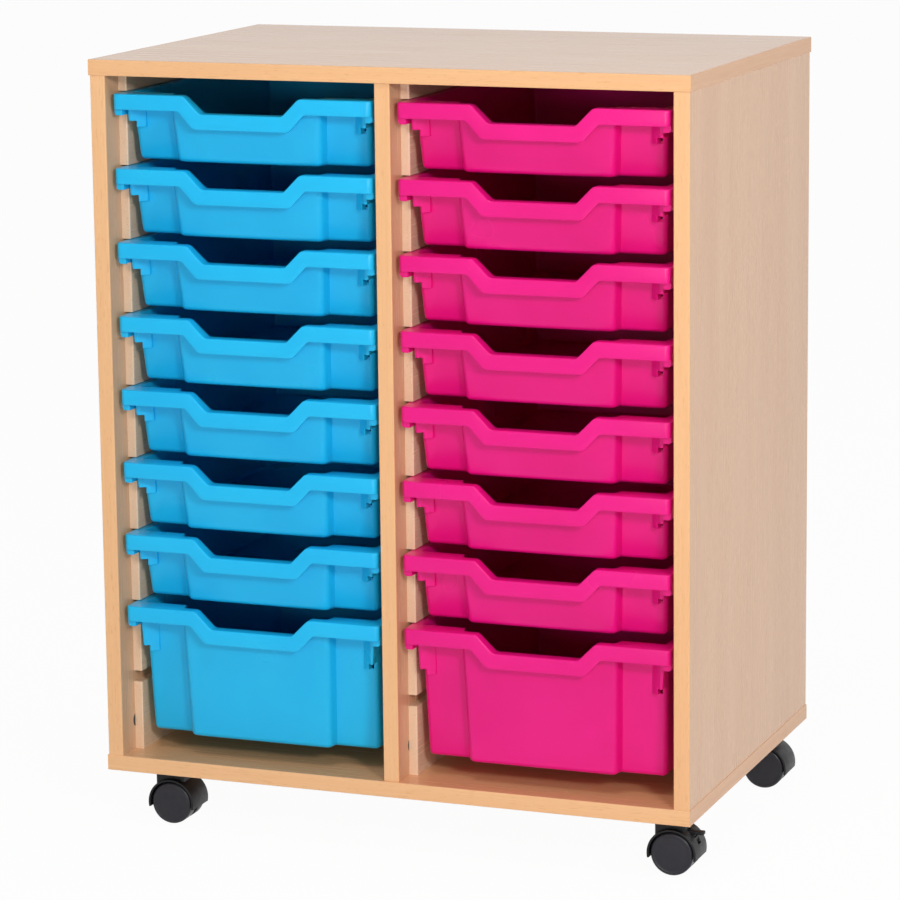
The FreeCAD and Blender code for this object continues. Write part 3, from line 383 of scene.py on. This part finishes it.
def front_gusset(sx, drop, height):
    """Slanting gusset in a front corner of the body, its inner part lower than its outer part."""
    front, low = GUSSET_Y, -drop - GUSSET_STEP
    gusset = block("gusset", between(sx, GUSSET_INNER, GUSSET_OUTER),
                   (front, front + GUSSET_DEPTH), (low, GUSSET_TOP), 0)
    bpy.ops.object.mode_set(mode="EDIT")
    cut("x", sx * GUSSET_KNEE)
    pick("verts", lambda p, v: near(p.y, front) and near(p.x, sx * GUSSET_INNER))
    shift(y=GUSSET_SLANT)
    pick("verts", lambda p, v: near(p.z, low) and near(p.x, sx * GUSSET_OUTER))
    shift(x=sx * GUSSET_LEAN * low)
    end("gusset")
    notch = block("notch", between(sx, GUSSET_NOTCH, 160.0),
                  (front - 5.0, front + 25.0), (low - 5.0, -drop), 0)
    carve(gusset, "DIFFERENCE", notch)
    soften(gusset, GUSSET_ROUND, 3)
    carve(gusset, "DIFFERENCE", hollow_body(height))
    return gusset


def stop_tab(sx):
    """Tab under a front corner of the rim, its lower outer corner rounded."""
    front = -TRAY_LENGTH / 2
    tab = block("stop_tab", between(sx, TAB_INNER, TAB_OUTER),
                (front + TAB_START, front + TAB_END), (TAB_LOW, TAB_TOP), 0)
    bpy.ops.object.mode_set(mode="EDIT")
    round_edges(lambda p, e: near(p.z, TAB_LOW) and near(p.x, sx * TAB_OUTER), TAB_ROUND, 5)
    end("stop_tab")
    soften(tab, EDGE_ROUND, 3)
    return tab


def tray_master(name, height, gusset_drop):
    """One whole tray: skin, gussets, stop tabs and corner slots."""
    tray = tray_skin(height)
    slot_top = -gusset_drop - CORNER_SLOT_BELOW
    for sx in (-1, 1):
        carve(tray, "UNION", front_gusset(sx, gusset_drop, height))
        carve(tray, "UNION", stop_tab(sx))
        cutter = block("slot_cutter", between(sx, *CORNER_SLOT),
                       (RECESS_Y - 5.0, RECESS_Y + WALL + 5.0),
                       (slot_top - CORNER_SLOT_HEIGHT, slot_top), 0.4)
        carve(tray, "DIFFERENCE", cutter)
    tray.name = name
    smooth(tray)
    return tray


# ------------------------------------------------------------ castor, swivel axis at X = Y = 0
WHEEL_RADIUS = 24.5
WHEEL_WIDTH = 15.0
WHEEL_INNER_Y = -5.0
WHEEL_RING = 3.5
WHEEL_SHOULDER = 3.0
HUB_RADIUS = 7.0
HOLLOW_DEPTH = 11.0
# rings of the wheel's face from its rim in: width and how far the next one stands out
FACE_RINGS = ((3.4, 0.0), (0.5, -0.35), (2.6, 0.2), (6.0, 0.5), (6.0, 0.3))
HOOD_RADIUS = 28.5
HOOD_WALL = 2.5
HOOD_WIDTH = 42.5
HOOD_LOW = AXLE_Z - 6.0
HOOD_ROUND = 0.7
WEB_RADIUS = HOOD_RADIUS - 1.0  # ends inside the shell
WEB_HALF = 4.0
SADDLE_X = (TRAIL - 21.0, TRAIL + 14.0)
SADDLE_HALF = 15.0
SADDLE_LOW, SADDLE_TOP = AXLE_Z + 13.0, 63.5
ROOM_RADIUS = HOOD_RADIUS - 1.2  # cut out of the saddle, which still overlaps the shell
COLLAR_RADIUS = 9.5
COLLAR_HEIGHT = 8.7
COLLAR_TOP = 66.2
PEDAL_WAY = ((20.0, 46.0), (-5.0, 5.0), (41.5, 57.0))
TIP_WAY = ((38.5, 46.0), (-5.0, 5.0), (34.0, 44.0))
# from the axle: near end, far end, half the width and half the thickness
SHOE = (25.9, 28.4, 9.0, 2.0)
SHOE_WAY = (23.9, 29.9, 9.5, 2.5)
SHOE_ANGLE = 44.0
PIN_X, PIN_Z = TRAIL + 9.5, AXLE_Z + 29.0
HUB_AND_PIN = ((3.0, 4.4), (1.5, 7.5))  # radius and half the length
ARM = ((PIN_X - 3.0, PIN_X + 3.0), (-4.45, 4.45), (45.0, PIN_Z))
PAD_LENGTH, PAD_WIDTH, PAD_THICKNESS = 23.0, 9.0, 3.5
PAD_Z = 46.75
AXLE = (TRAIL, 0.0, AXLE_Z)


def lying_drum(radius, y0, y1, caps="NGON"):
    """Round bar along Y about the axle, left in edit mode."""
    begin(bpy.ops.mesh.primitive_cylinder_add, vertices=96, radius=radius * MM,
          depth=(y1 - y0) * MM, end_fill_type=caps, rotation=(pi / 2, 0, 0),
          location=(TRAIL * MM, (y0 + y1) / 2 * MM, AXLE_Z * MM))


def from_axle(p):
    """Distance of a point from the axle's line."""
    return sqrt((p.x - TRAIL) ** 2 + (p.z - AXLE_Z) ** 2)


def wheel_master():
    """Front wheel: soft shoulder, shallow dished and domed face, hollow back with a hub."""
    y_in, y_out = WHEEL_INNER_Y, WHEEL_INNER_Y - WHEEL_WIDTH
    lying_drum(WHEEL_RADIUS, y_out, y_in)
    pick("faces", lambda p, f: p.y < y_out + 0.01)
    for thickness, out in FACE_RINGS:
        bpy.ops.mesh.inset(thickness=thickness * MM, depth=out * MM)
    pick("faces", lambda p, f: p.y > y_in - 0.01)
    for thickness in (WHEEL_RING, WHEEL_RADIUS - WHEEL_RING - HUB_RADIUS):
        bpy.ops.mesh.inset(thickness=thickness * MM, depth=0)
    pick("faces", lambda p, f: (p.y > y_in - 0.01
                                and HUB_RADIUS < from_axle(p) < WHEEL_RADIUS - WHEEL_RING))
    bpy.ops.mesh.extrude_region_move(TRANSFORM_OT_translate={"value": (0, -HOLLOW_DEPTH * MM, 0)})
    at_rim = lambda p: from_axle(p) > WHEEL_RADIUS - 0.1
    round_edges(lambda p, e: near(p.y, y_out) and at_rim(p), WHEEL_SHOULDER, 5)
    round_edges(lambda p, e: near(p.y, y_in) and at_rim(p), 0.6, 2)
    wheel = end("wheel")
    smooth(wheel)
    return wheel


def trimmed_drum(radius, y, wall):
    """Part of a drum above the hood's lower edge, hollow if it has a wall."""
    lying_drum(radius, -y, y, caps="NOTHING" if wall else "NGON")
    bpy.ops.mesh.select_all(action="SELECT")
    bpy.ops.mesh.bisect(plane_co=(0, 0, HOOD_LOW * MM), plane_no=(0, 0, 1), clear_inner=True,
                        use_fill=not wall)
    piece = end("hood")
    if wall:
        modify(piece, "SOLIDIFY", thickness=wall * MM, offset=-1, use_even_offset=True)
    soften(piece, HOOD_ROUND, 3, 50)
    return piece


def hood_master(name, braked):
    """Hood over both wheels: arched shell, web, saddle, collar and the pedal's opening."""
    half = HOOD_WIDTH / 2
    hood = trimmed_drum(HOOD_RADIUS, half, HOOD_WALL)
    carve(hood, "UNION", trimmed_drum(WEB_RADIUS, WEB_HALF, 0))
    saddle = block("saddle", SADDLE_X, (-SADDLE_HALF, SADDLE_HALF),
                   (SADDLE_LOW, SADDLE_TOP), 2.5, 4)
    lying_drum(ROOM_RADIUS, -half, half)
    carve(saddle, "DIFFERENCE", end("room"))
    carve(hood, "UNION", saddle)
    begin(bpy.ops.mesh.primitive_cylinder_add, vertices=48, radius=COLLAR_RADIUS * MM,
          depth=COLLAR_HEIGHT * MM, location=(0, 0, (COLLAR_TOP - COLLAR_HEIGHT / 2) * MM))
    carve(hood, "UNION", end("collar"))
    if braked:
        carve(hood, "DIFFERENCE", block("pedal_way", *PEDAL_WAY, 0.6))
        carve(hood, "DIFFERENCE", block("tip_way", *TIP_WAY, 0.6))
        carve(hood, "DIFFERENCE", shoe("shoe_way", *SHOE_WAY))
    hood.name = name
    smooth(hood, 35)
    return hood


def shoe(name, near_end, far_end, half, side):
    """Bar across both treads, on a slanting line up from the axle."""
    piece = block(name, (TRAIL + near_end, TRAIL + far_end), (-half, half),
                  (AXLE_Z - side, AXLE_Z + side), 0.4)
    turn = Matrix.Rotation(-radians(SHOE_ANGLE), 4, "Y")
    axle = Matrix.Translation(Vector(AXLE) * MM)
    piece.data.transform(axle @ turn @ axle.inverted())
    return piece


def pedal_master():
    """Brake pedal: hub, arm, thumb pad with soft edges and the shoe under it."""
    begin(bpy.ops.mesh.primitive_cube_add, size=1,
          location=((PIN_X + PAD_LENGTH / 2) * MM, 0, PAD_Z * MM),
          scale=(PAD_LENGTH * MM, PAD_WIDTH * MM, PAD_THICKNESS * MM))
    at_tip = lambda p: abs(p.y) > 4 and p.x > PIN_X + PAD_LENGTH - 1 and near(p.z, PAD_Z)
    round_edges(lambda p, e: at_tip(p), 2.5, 5)
    pedal = end("pedal")
    soften(pedal, 0.6, 3)
    carve(pedal, "UNION", block("arm", *ARM, 0.6))
    for radius, half in HUB_AND_PIN:
        begin(bpy.ops.mesh.primitive_cylinder_add, vertices=32, radius=radius * MM,
              depth=2 * half * MM, rotation=(pi / 2, 0, 0), location=(PIN_X * MM, 0, PIN_Z * MM))
        carve(pedal, "UNION", end("hub"))
    carve(pedal, "UNION", shoe("shoe", *SHOE))
    smooth(pedal, 35)
    return pedal


# ------------------------------------------------------------ materials
def linear(colour):
    """sRGB hex colour as linear light."""
    parts = [int(colour[i:i + 2], 16) / 255 for i in (0, 2, 4)]
    light = [c / 12.92 if c <= 0.04045 else ((c + 0.055) / 1.055) ** 2.4 for c in parts]
    return (*light, 1.0)


def node(tree, kind, inputs=None, **settings):
    """Add a node with its settings; an input is a value or another node's output socket."""
    new = tree.nodes.new("ShaderNode" + kind)
    for key, value in settings.items():
        setattr(new, key, value)
    for key, value in (inputs or {}).items():
        if isinstance(value, bpy.types.NodeSocket):
            tree.links.new(value, new.inputs[key])
        else:
            new.inputs[key].default_value = value
    return new


def blank(name):
    """New material with its principled shader, and its tree."""
    material = bpy.data.materials.new(name)
    material.use_nodes = True
    tree = material.node_tree
    return material, tree, tree.nodes["Principled BSDF"]


def soft_pattern(tree, sizes, detail, place=None, **inputs):
    """Cloudy pattern from 0 to 1 on the piece, its size along each axis in millimetres."""
    place = place or node(tree, "TexCoord").outputs["Object"]
    scale = tuple(1 / (size * MM) for size in sizes)
    space = node(tree, "Mapping", {"Vector": place, "Scale": scale}).outputs["Vector"]
    noise = node(tree, "TexNoise", {"Vector": space, "Scale": 1.0, "Detail": detail, **inputs})
    return noise.outputs["Fac"]


def along(grain, length, width):
    """Pattern sizes with its length along the grain's axis and its width across."""
    return tuple(length if axis == grain else width for axis in "xyz")


def off_the_front(tree):
    """1 on faces that don't look along Y."""
    normal = node(tree, "TexCoord").outputs["Normal"]
    forward = node(tree, "SeparateXYZ", {0: normal}).outputs[1]
    size = node(tree, "Math", {0: forward}, operation="ABSOLUTE").outputs[0]
    return node(tree, "Math", {0: size, 1: 0.5}, operation="LESS_THAN").outputs[0]


def turned_at_ends(tree):
    """Object coordinates, with X and Y swapped on faces off the front."""
    straight = node(tree, "TexCoord").outputs["Object"]
    part = node(tree, "SeparateXYZ", {0: straight}).outputs
    turned = node(tree, "CombineXYZ", {0: part[1], 1: part[0], 2: part[2]}).outputs[0]
    return node(tree, "Mix", {0: off_the_front(tree), 4: straight, 5: turned},
                data_type="VECTOR").outputs[1]


NOISE_LOW, NOISE_HIGH = 0.3, 0.7  # most of a soft pattern's values lie between these
STRIP_SHARE, FIBRE_SHARE = 0.55, 0.45  # of the foil's change from its pale to its deep tone
FLECK_LOW, FLECK_HIGH = 0.62, 0.74  # flecks show where their pattern rises through these
FLECK_STRENGTH = 0.35


def beech_foil(name, grain, tones, fleck, roughness=0.24, shaded_ends=None):
    """Printed beech foil on board or edging: even, satin, with short dark flecks.

    Given shaded_ends tones, faces off the front take them as painted shade, and their grain runs
    along Y.
    """
    material, tree, shader = blank(name)
    place = turned_at_ends(tree) if shaded_ends else None
    # slow change of tone between the veneer print's strips, about 60 mm wide
    strips = soft_pattern(tree, along(grain, 900, 60), 2.0, place)
    # fibres: 2.5 mm wide and 120 mm long, drawn coarser than the real 0.5 mm so that they show
    fibres = soft_pattern(tree, along(grain, 120, 2.5), 3.0, place, Roughness=0.6)
    # beech's short flecks: 1.2 mm wide, 12 mm long
    dashes = soft_pattern(tree, along(grain, 12, 1.2), 1.0, place)
    slow, fine = (node(tree, "MapRange", {0: pattern, 1: NOISE_LOW, 2: NOISE_HIGH, 4: share})
                  for pattern, share in ((strips, STRIP_SHARE), (fibres, FIBRE_SHARE)))
    tone = node(tree, "Math", {0: slow.outputs[0], 1: fine.outputs[0]}, operation="ADD").outputs[0]
    colour, *at_shaded_ends = (node(tree, "Mix", {0: tone, 6: linear(pale), 7: linear(deep)},
                             data_type="RGBA").outputs[2]
                        for pale, deep in ((tones, shaded_ends) if shaded_ends else (tones,)))
    # faces off the front take the darker tone: painted shade on the edging's ends
    if shaded_ends:
        colour = node(tree, "Mix", {0: off_the_front(tree), 6: colour, 7: at_shaded_ends[0]},
                      data_type="RGBA").outputs[2]
    fleck_share = node(tree, "MapRange", {0: dashes, 1: FLECK_LOW, 2: FLECK_HIGH,
                                          4: FLECK_STRENGTH}).outputs[0]
    colour = node(tree, "Mix", {0: fleck_share, 6: colour, 7: linear(fleck)},
                  data_type="RGBA").outputs[2]
    gloss = node(tree, "MapRange", {0: fibres, 1: NOISE_LOW, 2: NOISE_HIGH,
                                    3: roughness - 0.04, 4: roughness + 0.05}).outputs[0]
    bump = node(tree, "Bump", {"Strength": 0.12, "Distance": 0.1 * MM, "Height": dashes}).outputs[0]
    tree.links.new(colour, shader.inputs["Base Color"])
    tree.links.new(gloss, shader.inputs["Roughness"])
    tree.links.new(bump, shader.inputs["Normal"])
    shader.inputs["IOR"].default_value = 1.5
    return material


def mottled(name, sizes, detail, tones, roughness, grit=None, **values):
    """Two tones and, where roughness is a pair, its gloss follow one soft pattern.

    Grit is a fine grain's size, detail, strength and height in millimetres.
    """
    material, tree, shader = blank(name)
    cloud = soft_pattern(tree, sizes, detail)
    share = node(tree, "MapRange", {0: cloud, 1: NOISE_LOW, 2: NOISE_HIGH}).outputs[0]
    pale, deep = (linear(tone) for tone in tones)
    colour = node(tree, "Mix", {0: share, 6: pale, 7: deep}, data_type="RGBA").outputs[2]
    tree.links.new(colour, shader.inputs["Base Color"])
    if isinstance(roughness, tuple):
        gloss = node(tree, "MapRange", {0: cloud, 1: NOISE_LOW, 2: NOISE_HIGH,
                                        3: roughness[0], 4: roughness[1]}).outputs[0]
        tree.links.new(gloss, shader.inputs["Roughness"])
    else:
        shader.inputs["Roughness"].default_value = roughness
    if grit:
        size, fineness, strength, depth = grit
        grain = soft_pattern(tree, (size,) * 3, fineness)
        bump = node(tree, "Bump", {"Strength": strength, "Distance": depth * MM, "Height": grain})
        tree.links.new(bump.outputs["Normal"], shader.inputs["Normal"])
    for key, value in values.items():
        shader.inputs[key.replace("_", " ")].default_value = value
    return material


# melamine-faced chipboard with a printed beech foil: pale, even, satin
BOARD, FLECK = ("deb38e", "d2a37c"), "b98a62"
board = {axis: beech_foil("beech_melamine_grain_" + axis, axis, BOARD, FLECK) for axis in "xz"}
# the base board's foil is warmer and more saturated than the same foil on the other boards: painted
# warm bounce light on its shaded top
base_board_painted_warm = beech_foil("beech_melamine_base_painted_warm_light", "x", ("e3b084", "d6a272"), FLECK)
rail_wood = beech_foil("beech_melamine_runner", "y", ("e6c9ac", "dfbd9c"), FLECK)

# ABS edging, printed to match: a little warmer and duller than the board; on the lying edging,
# faces off the front take a darker tone, which is painted shade
BAND, BAND_SHADED_END, BAND_FLECK = ("edbb89", "e4ad79"), ("dfb088", "d6a277"), "c98f55"
BAND_ROUGHNESS = 0.33
band = beech_foil("beech_abs_edging_upright", "z", BAND, BAND_FLECK, BAND_ROUGHNESS)
lying_band_shaded_ends = beech_foil("beech_abs_edging_lying_shaded_ends", "x", BAND, BAND_FLECK, BAND_ROUGHNESS, BAND_SHADED_END)

# polypropylene, injection moulded: soft gloss, cloudy over 90 mm from the melt's flow, on a
# spark-eroded grain, really 0.15 mm and drawn at 0.5 mm
blue_pp, magenta_pp = (
    mottled("moulded_polypropylene_" + colour, (90,) * 3, 2.0, tones, (0.27, 0.34),
            (0.5, 1.0, 0.25, 0.02), IOR=1.49, Specular_IOR_Level=0.3)
    for colour, tones in (("cyan", ("1dbaec", "18b3e9")), ("magenta", ("e91284", "e10d7c"))))

# black glass-filled nylon, moulded: satin, mottled over 6 mm
hood_nylon, wheel_nylon = (
    mottled("moulded_nylon_" + colour, (6,) * 3, 3.0, tones, (dull - 0.05, dull + 0.07),
            (0.6, 2.0, 0.3, 0.03), IOR=1.53, Specular_IOR_Level=0.25)
    for colour, tones, dull in (("black", ("161518", "121114"), 0.4),
                                ("charcoal", ("2a292f", "25242a"), 0.36)))

# bright zinc plating on steel: pale grey metal with a cloudy, slightly brushed shine
zinc = mottled("zinc_plated_steel", (4,) * 3, 3.0, ("c9c9cc", "aeaeb3"), (0.25, 0.42), Metallic=1.0)
# black passivated pressed steel: dark and satin with a faint blotch
black_steel = mottled("black_passivated_steel", (5,) * 3, 3.0, ("2b2b2d", "1f1f21"), (0.38, 0.5))
# plain beech dowel: dry, pale wood with fine fibres along it
dowel_wood = mottled("turned_beech", along("z", 30, 0.8), 3.0, ("dcb98c", "c79f6e"), 0.7)


def dress(name, material):
    """Give a CAD node its finish."""
    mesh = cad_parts[name].data
    mesh.materials.clear()
    mesh.materials.append(material)


for name, material in (
    ("top_panel", board["x"]), ("base_panel", base_board_painted_warm), ("left_side_panel", board["z"]),
    ("right_side_panel", board["z"]), ("centre_divider", board["z"]), ("back_panel", board["z"]),
    ("top_edging", lying_band_shaded_ends), ("base_edging", lying_band_shaded_ends), ("left_side_edging", band),
    ("right_side_edging", band), ("divider_edging", band),
    ("left_side_runners", rail_wood), ("divider_left_runners", rail_wood),
    ("divider_right_runners", rail_wood), ("right_side_runners", rail_wood),
    ("cam_fittings", black_steel), ("cam_bolts", zinc), ("case_dowels", dowel_wood),
    ("back_panel_screws", zinc), ("castor_screws", black_steel), ("castor_kingpins", zinc),
):
    dress(name, material)

# ------------------------------------------------------------ pieces in their places
shallow_tray = tray_master("shallow_tray", SHALLOW, SHALLOW_GUSSET)
deep_tray = tray_master("deep_tray", DEEP, DEEP_GUSSET)
for column, x, material in (("left", -COLUMN_X, blue_pp), ("right", COLUMN_X, magenta_pp)):
    for slot in range(TRAYS_IN_COLUMN):
        body = column + "_tray_" + str(slot + 1)
        master = deep_tray if slot == TRAYS_IN_COLUMN - 1 else shallow_tray
        piece = copy_of(master, body + "_moulding", (x, TRAY_Y, RIM_TOP - slot * SLOT_PITCH))
        piece.data.materials.append(material)
        dress(body, material)
        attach(piece, body)
        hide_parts(body)

wheel = wheel_master()
hoods = {False: hood_master("plain_hood", False), True: hood_master("braked_hood", True)}
pedal = pedal_master()
for corner, sx, sy, braked in (("front_left", -1, -1, False), ("front_right", 1, -1, True),
                               ("rear_left", -1, 1, True), ("rear_right", 1, 1, False)):
    dress(corner + "_castor_plate", black_steel)
    dress(corner + "_castor_axle", zinc)
    parts = [(hoods[braked], "_castor_hood", "_castor", "hood_plastic", hood_nylon, False),
             (wheel, "_front_wheel", "_front_wheel", "wheel_plastic", wheel_nylon, False),
             (wheel, "_back_wheel", "_back_wheel", "wheel_plastic", wheel_nylon, True)]
    if braked:
        parts.append((pedal, "_brake_pedal", "_brake_pedal", "hood_plastic", hood_nylon, False))
    for master, replaced, body, slot_name, material, turned in parts:
        # a half turn about the swivel axis moves the axle, so the turned copy is moved back
        place = (sx * CASTOR_X + 2 * TRAIL * turned, sy * CASTOR_Y, 0.0)
        piece = copy_of(master, corner + replaced + "_moulding", place, turned)
        piece.data.materials.append(material)
        dress(corner + replaced, material)
        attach(piece, corner + body)
        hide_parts(corner + replaced)

for master in (shallow_tray, deep_tray, wheel, hoods[False], hoods[True], pedal):
    bpy.data.objects.remove(master)

# ------------------------------------------------------------ floor, light and camera
scene = bpy.context.scene
WHITE = (1.0, 1.0, 1.0, 1.0)


def clear_sight(tree):
    """1 for rays that should find the white background: seen, in gloss or through glass."""
    rays = node(tree, "LightPath").outputs
    share = rays["Is Camera Ray"]
    for kind in ("Is Glossy Ray", "Is Transmission Ray"):
        share = node(tree, "Math", {0: share, 1: rays[kind]}, operation="MAXIMUM").outputs[0]
    return share


def studio_floor(whiteness):
    """Pale seamless floor that keeps a soft shadow and fades to white for the eye."""
    bpy.ops.mesh.primitive_plane_add(size=30, location=(0, 0, 0))
    floor = bpy.context.object
    floor.name = "studio_floor"
    material = bpy.data.materials.new("pale_paper_floor")
    material.use_nodes = True
    tree = material.node_tree
    tree.nodes.clear()
    share = node(tree, "Math", {0: clear_sight(tree), 1: whiteness},
                 operation="MULTIPLY").outputs[0]
    paper = node(tree, "BsdfDiffuse", {"Color": linear("f4f4f4")}).outputs[0]
    white = node(tree, "Emission", {"Color": WHITE, "Strength": 1.0}).outputs[0]
    blend = node(tree, "MixShader", {0: share, 1: paper, 2: white}).outputs[0]
    node(tree, "OutputMaterial", {"Surface": blend})
    floor.data.materials.append(material)


def studio_world(strength):
    """Even grey light all round, white where the eye sees it."""
    world = bpy.data.worlds.new("studio_world")
    scene.world = world
    world.use_nodes = True
    tree = world.node_tree
    tree.nodes.clear()
    even = node(tree, "Background", {"Color": WHITE, "Strength": strength}).outputs[0]
    white = node(tree, "Background", {"Color": WHITE, "Strength": 1.0}).outputs[0]
    blend = node(tree, "MixShader", {0: clear_sight(tree), 1: even, 2: white}).outputs[0]
    node(tree, "OutputWorld", {"Surface": blend})


def soft_box(name, place, aim, width, height, power):
    """Large soft lamp at a place, turned to a point."""
    lamp = bpy.data.lights.new(name, "AREA")
    lamp.shape = "RECTANGLE"
    lamp.size = width
    lamp.size_y = height
    lamp.energy = power
    holder = bpy.data.objects.new(name, lamp)
    scene.collection.objects.link(holder)
    holder.location = place
    holder.rotation_euler = (Vector(aim) - Vector(place)).to_track_quat("-Z", "Y").to_euler()


EYE = (1.53389, -4.01097, 1.28380)
YAW, PITCH, ROLL = 0.3640, 0.1828, -0.0104
SENSOR, LENS = 36.0, 150.64  # width and focal length in millimetres
SHIFT_X, SHIFT_Y = -0.0173, -0.0637


def camera(yaw, pitch, roll):
    """Long lens from the front right, a little above the unit."""
    look = Vector((-sin(yaw) * cos(pitch), cos(yaw) * cos(pitch), -sin(pitch)))
    right = Vector((cos(yaw), sin(yaw), 0.0))
    above = right.cross(look)
    right, above = (cos(roll) * right + sin(roll) * above,
                    cos(roll) * above - sin(roll) * right)
    lens = bpy.data.cameras.new("camera")
    lens.sensor_width = SENSOR
    lens.lens = LENS
    lens.shift_x = SHIFT_X
    lens.shift_y = SHIFT_Y
    lens.clip_end = 100.0
    eye = bpy.data.objects.new("camera", lens)
    scene.collection.objects.link(eye)
    turn = Matrix((right, above, -look)).transposed().to_4x4()
    eye.matrix_world = Matrix.Translation(EYE) @ turn
    scene.camera = eye


studio_floor(0.96)
studio_world(0.34)
MIDDLE = (0, 0, 0.45)  # of the unit, in metres
soft_box("key_lamp", (2.2, -2.6, 1.75), MIDDLE, 0.5, 0.5, 47)
soft_box("front_lamp", (0.6, -4.0, 0.8), MIDDLE, 1.2, 0.6, 34)
soft_box("side_lamp", (3.4, 0.8, 1.6), MIDDLE, 1.2, 1.2, 15)
soft_box("top_lamp", (0.2, -1.3, 2.9), (0, 0, 0.5), 0.8, 0.8, 15)
camera(YAW, PITCH, ROLL)
scene.view_settings.view_transform = "Standard"
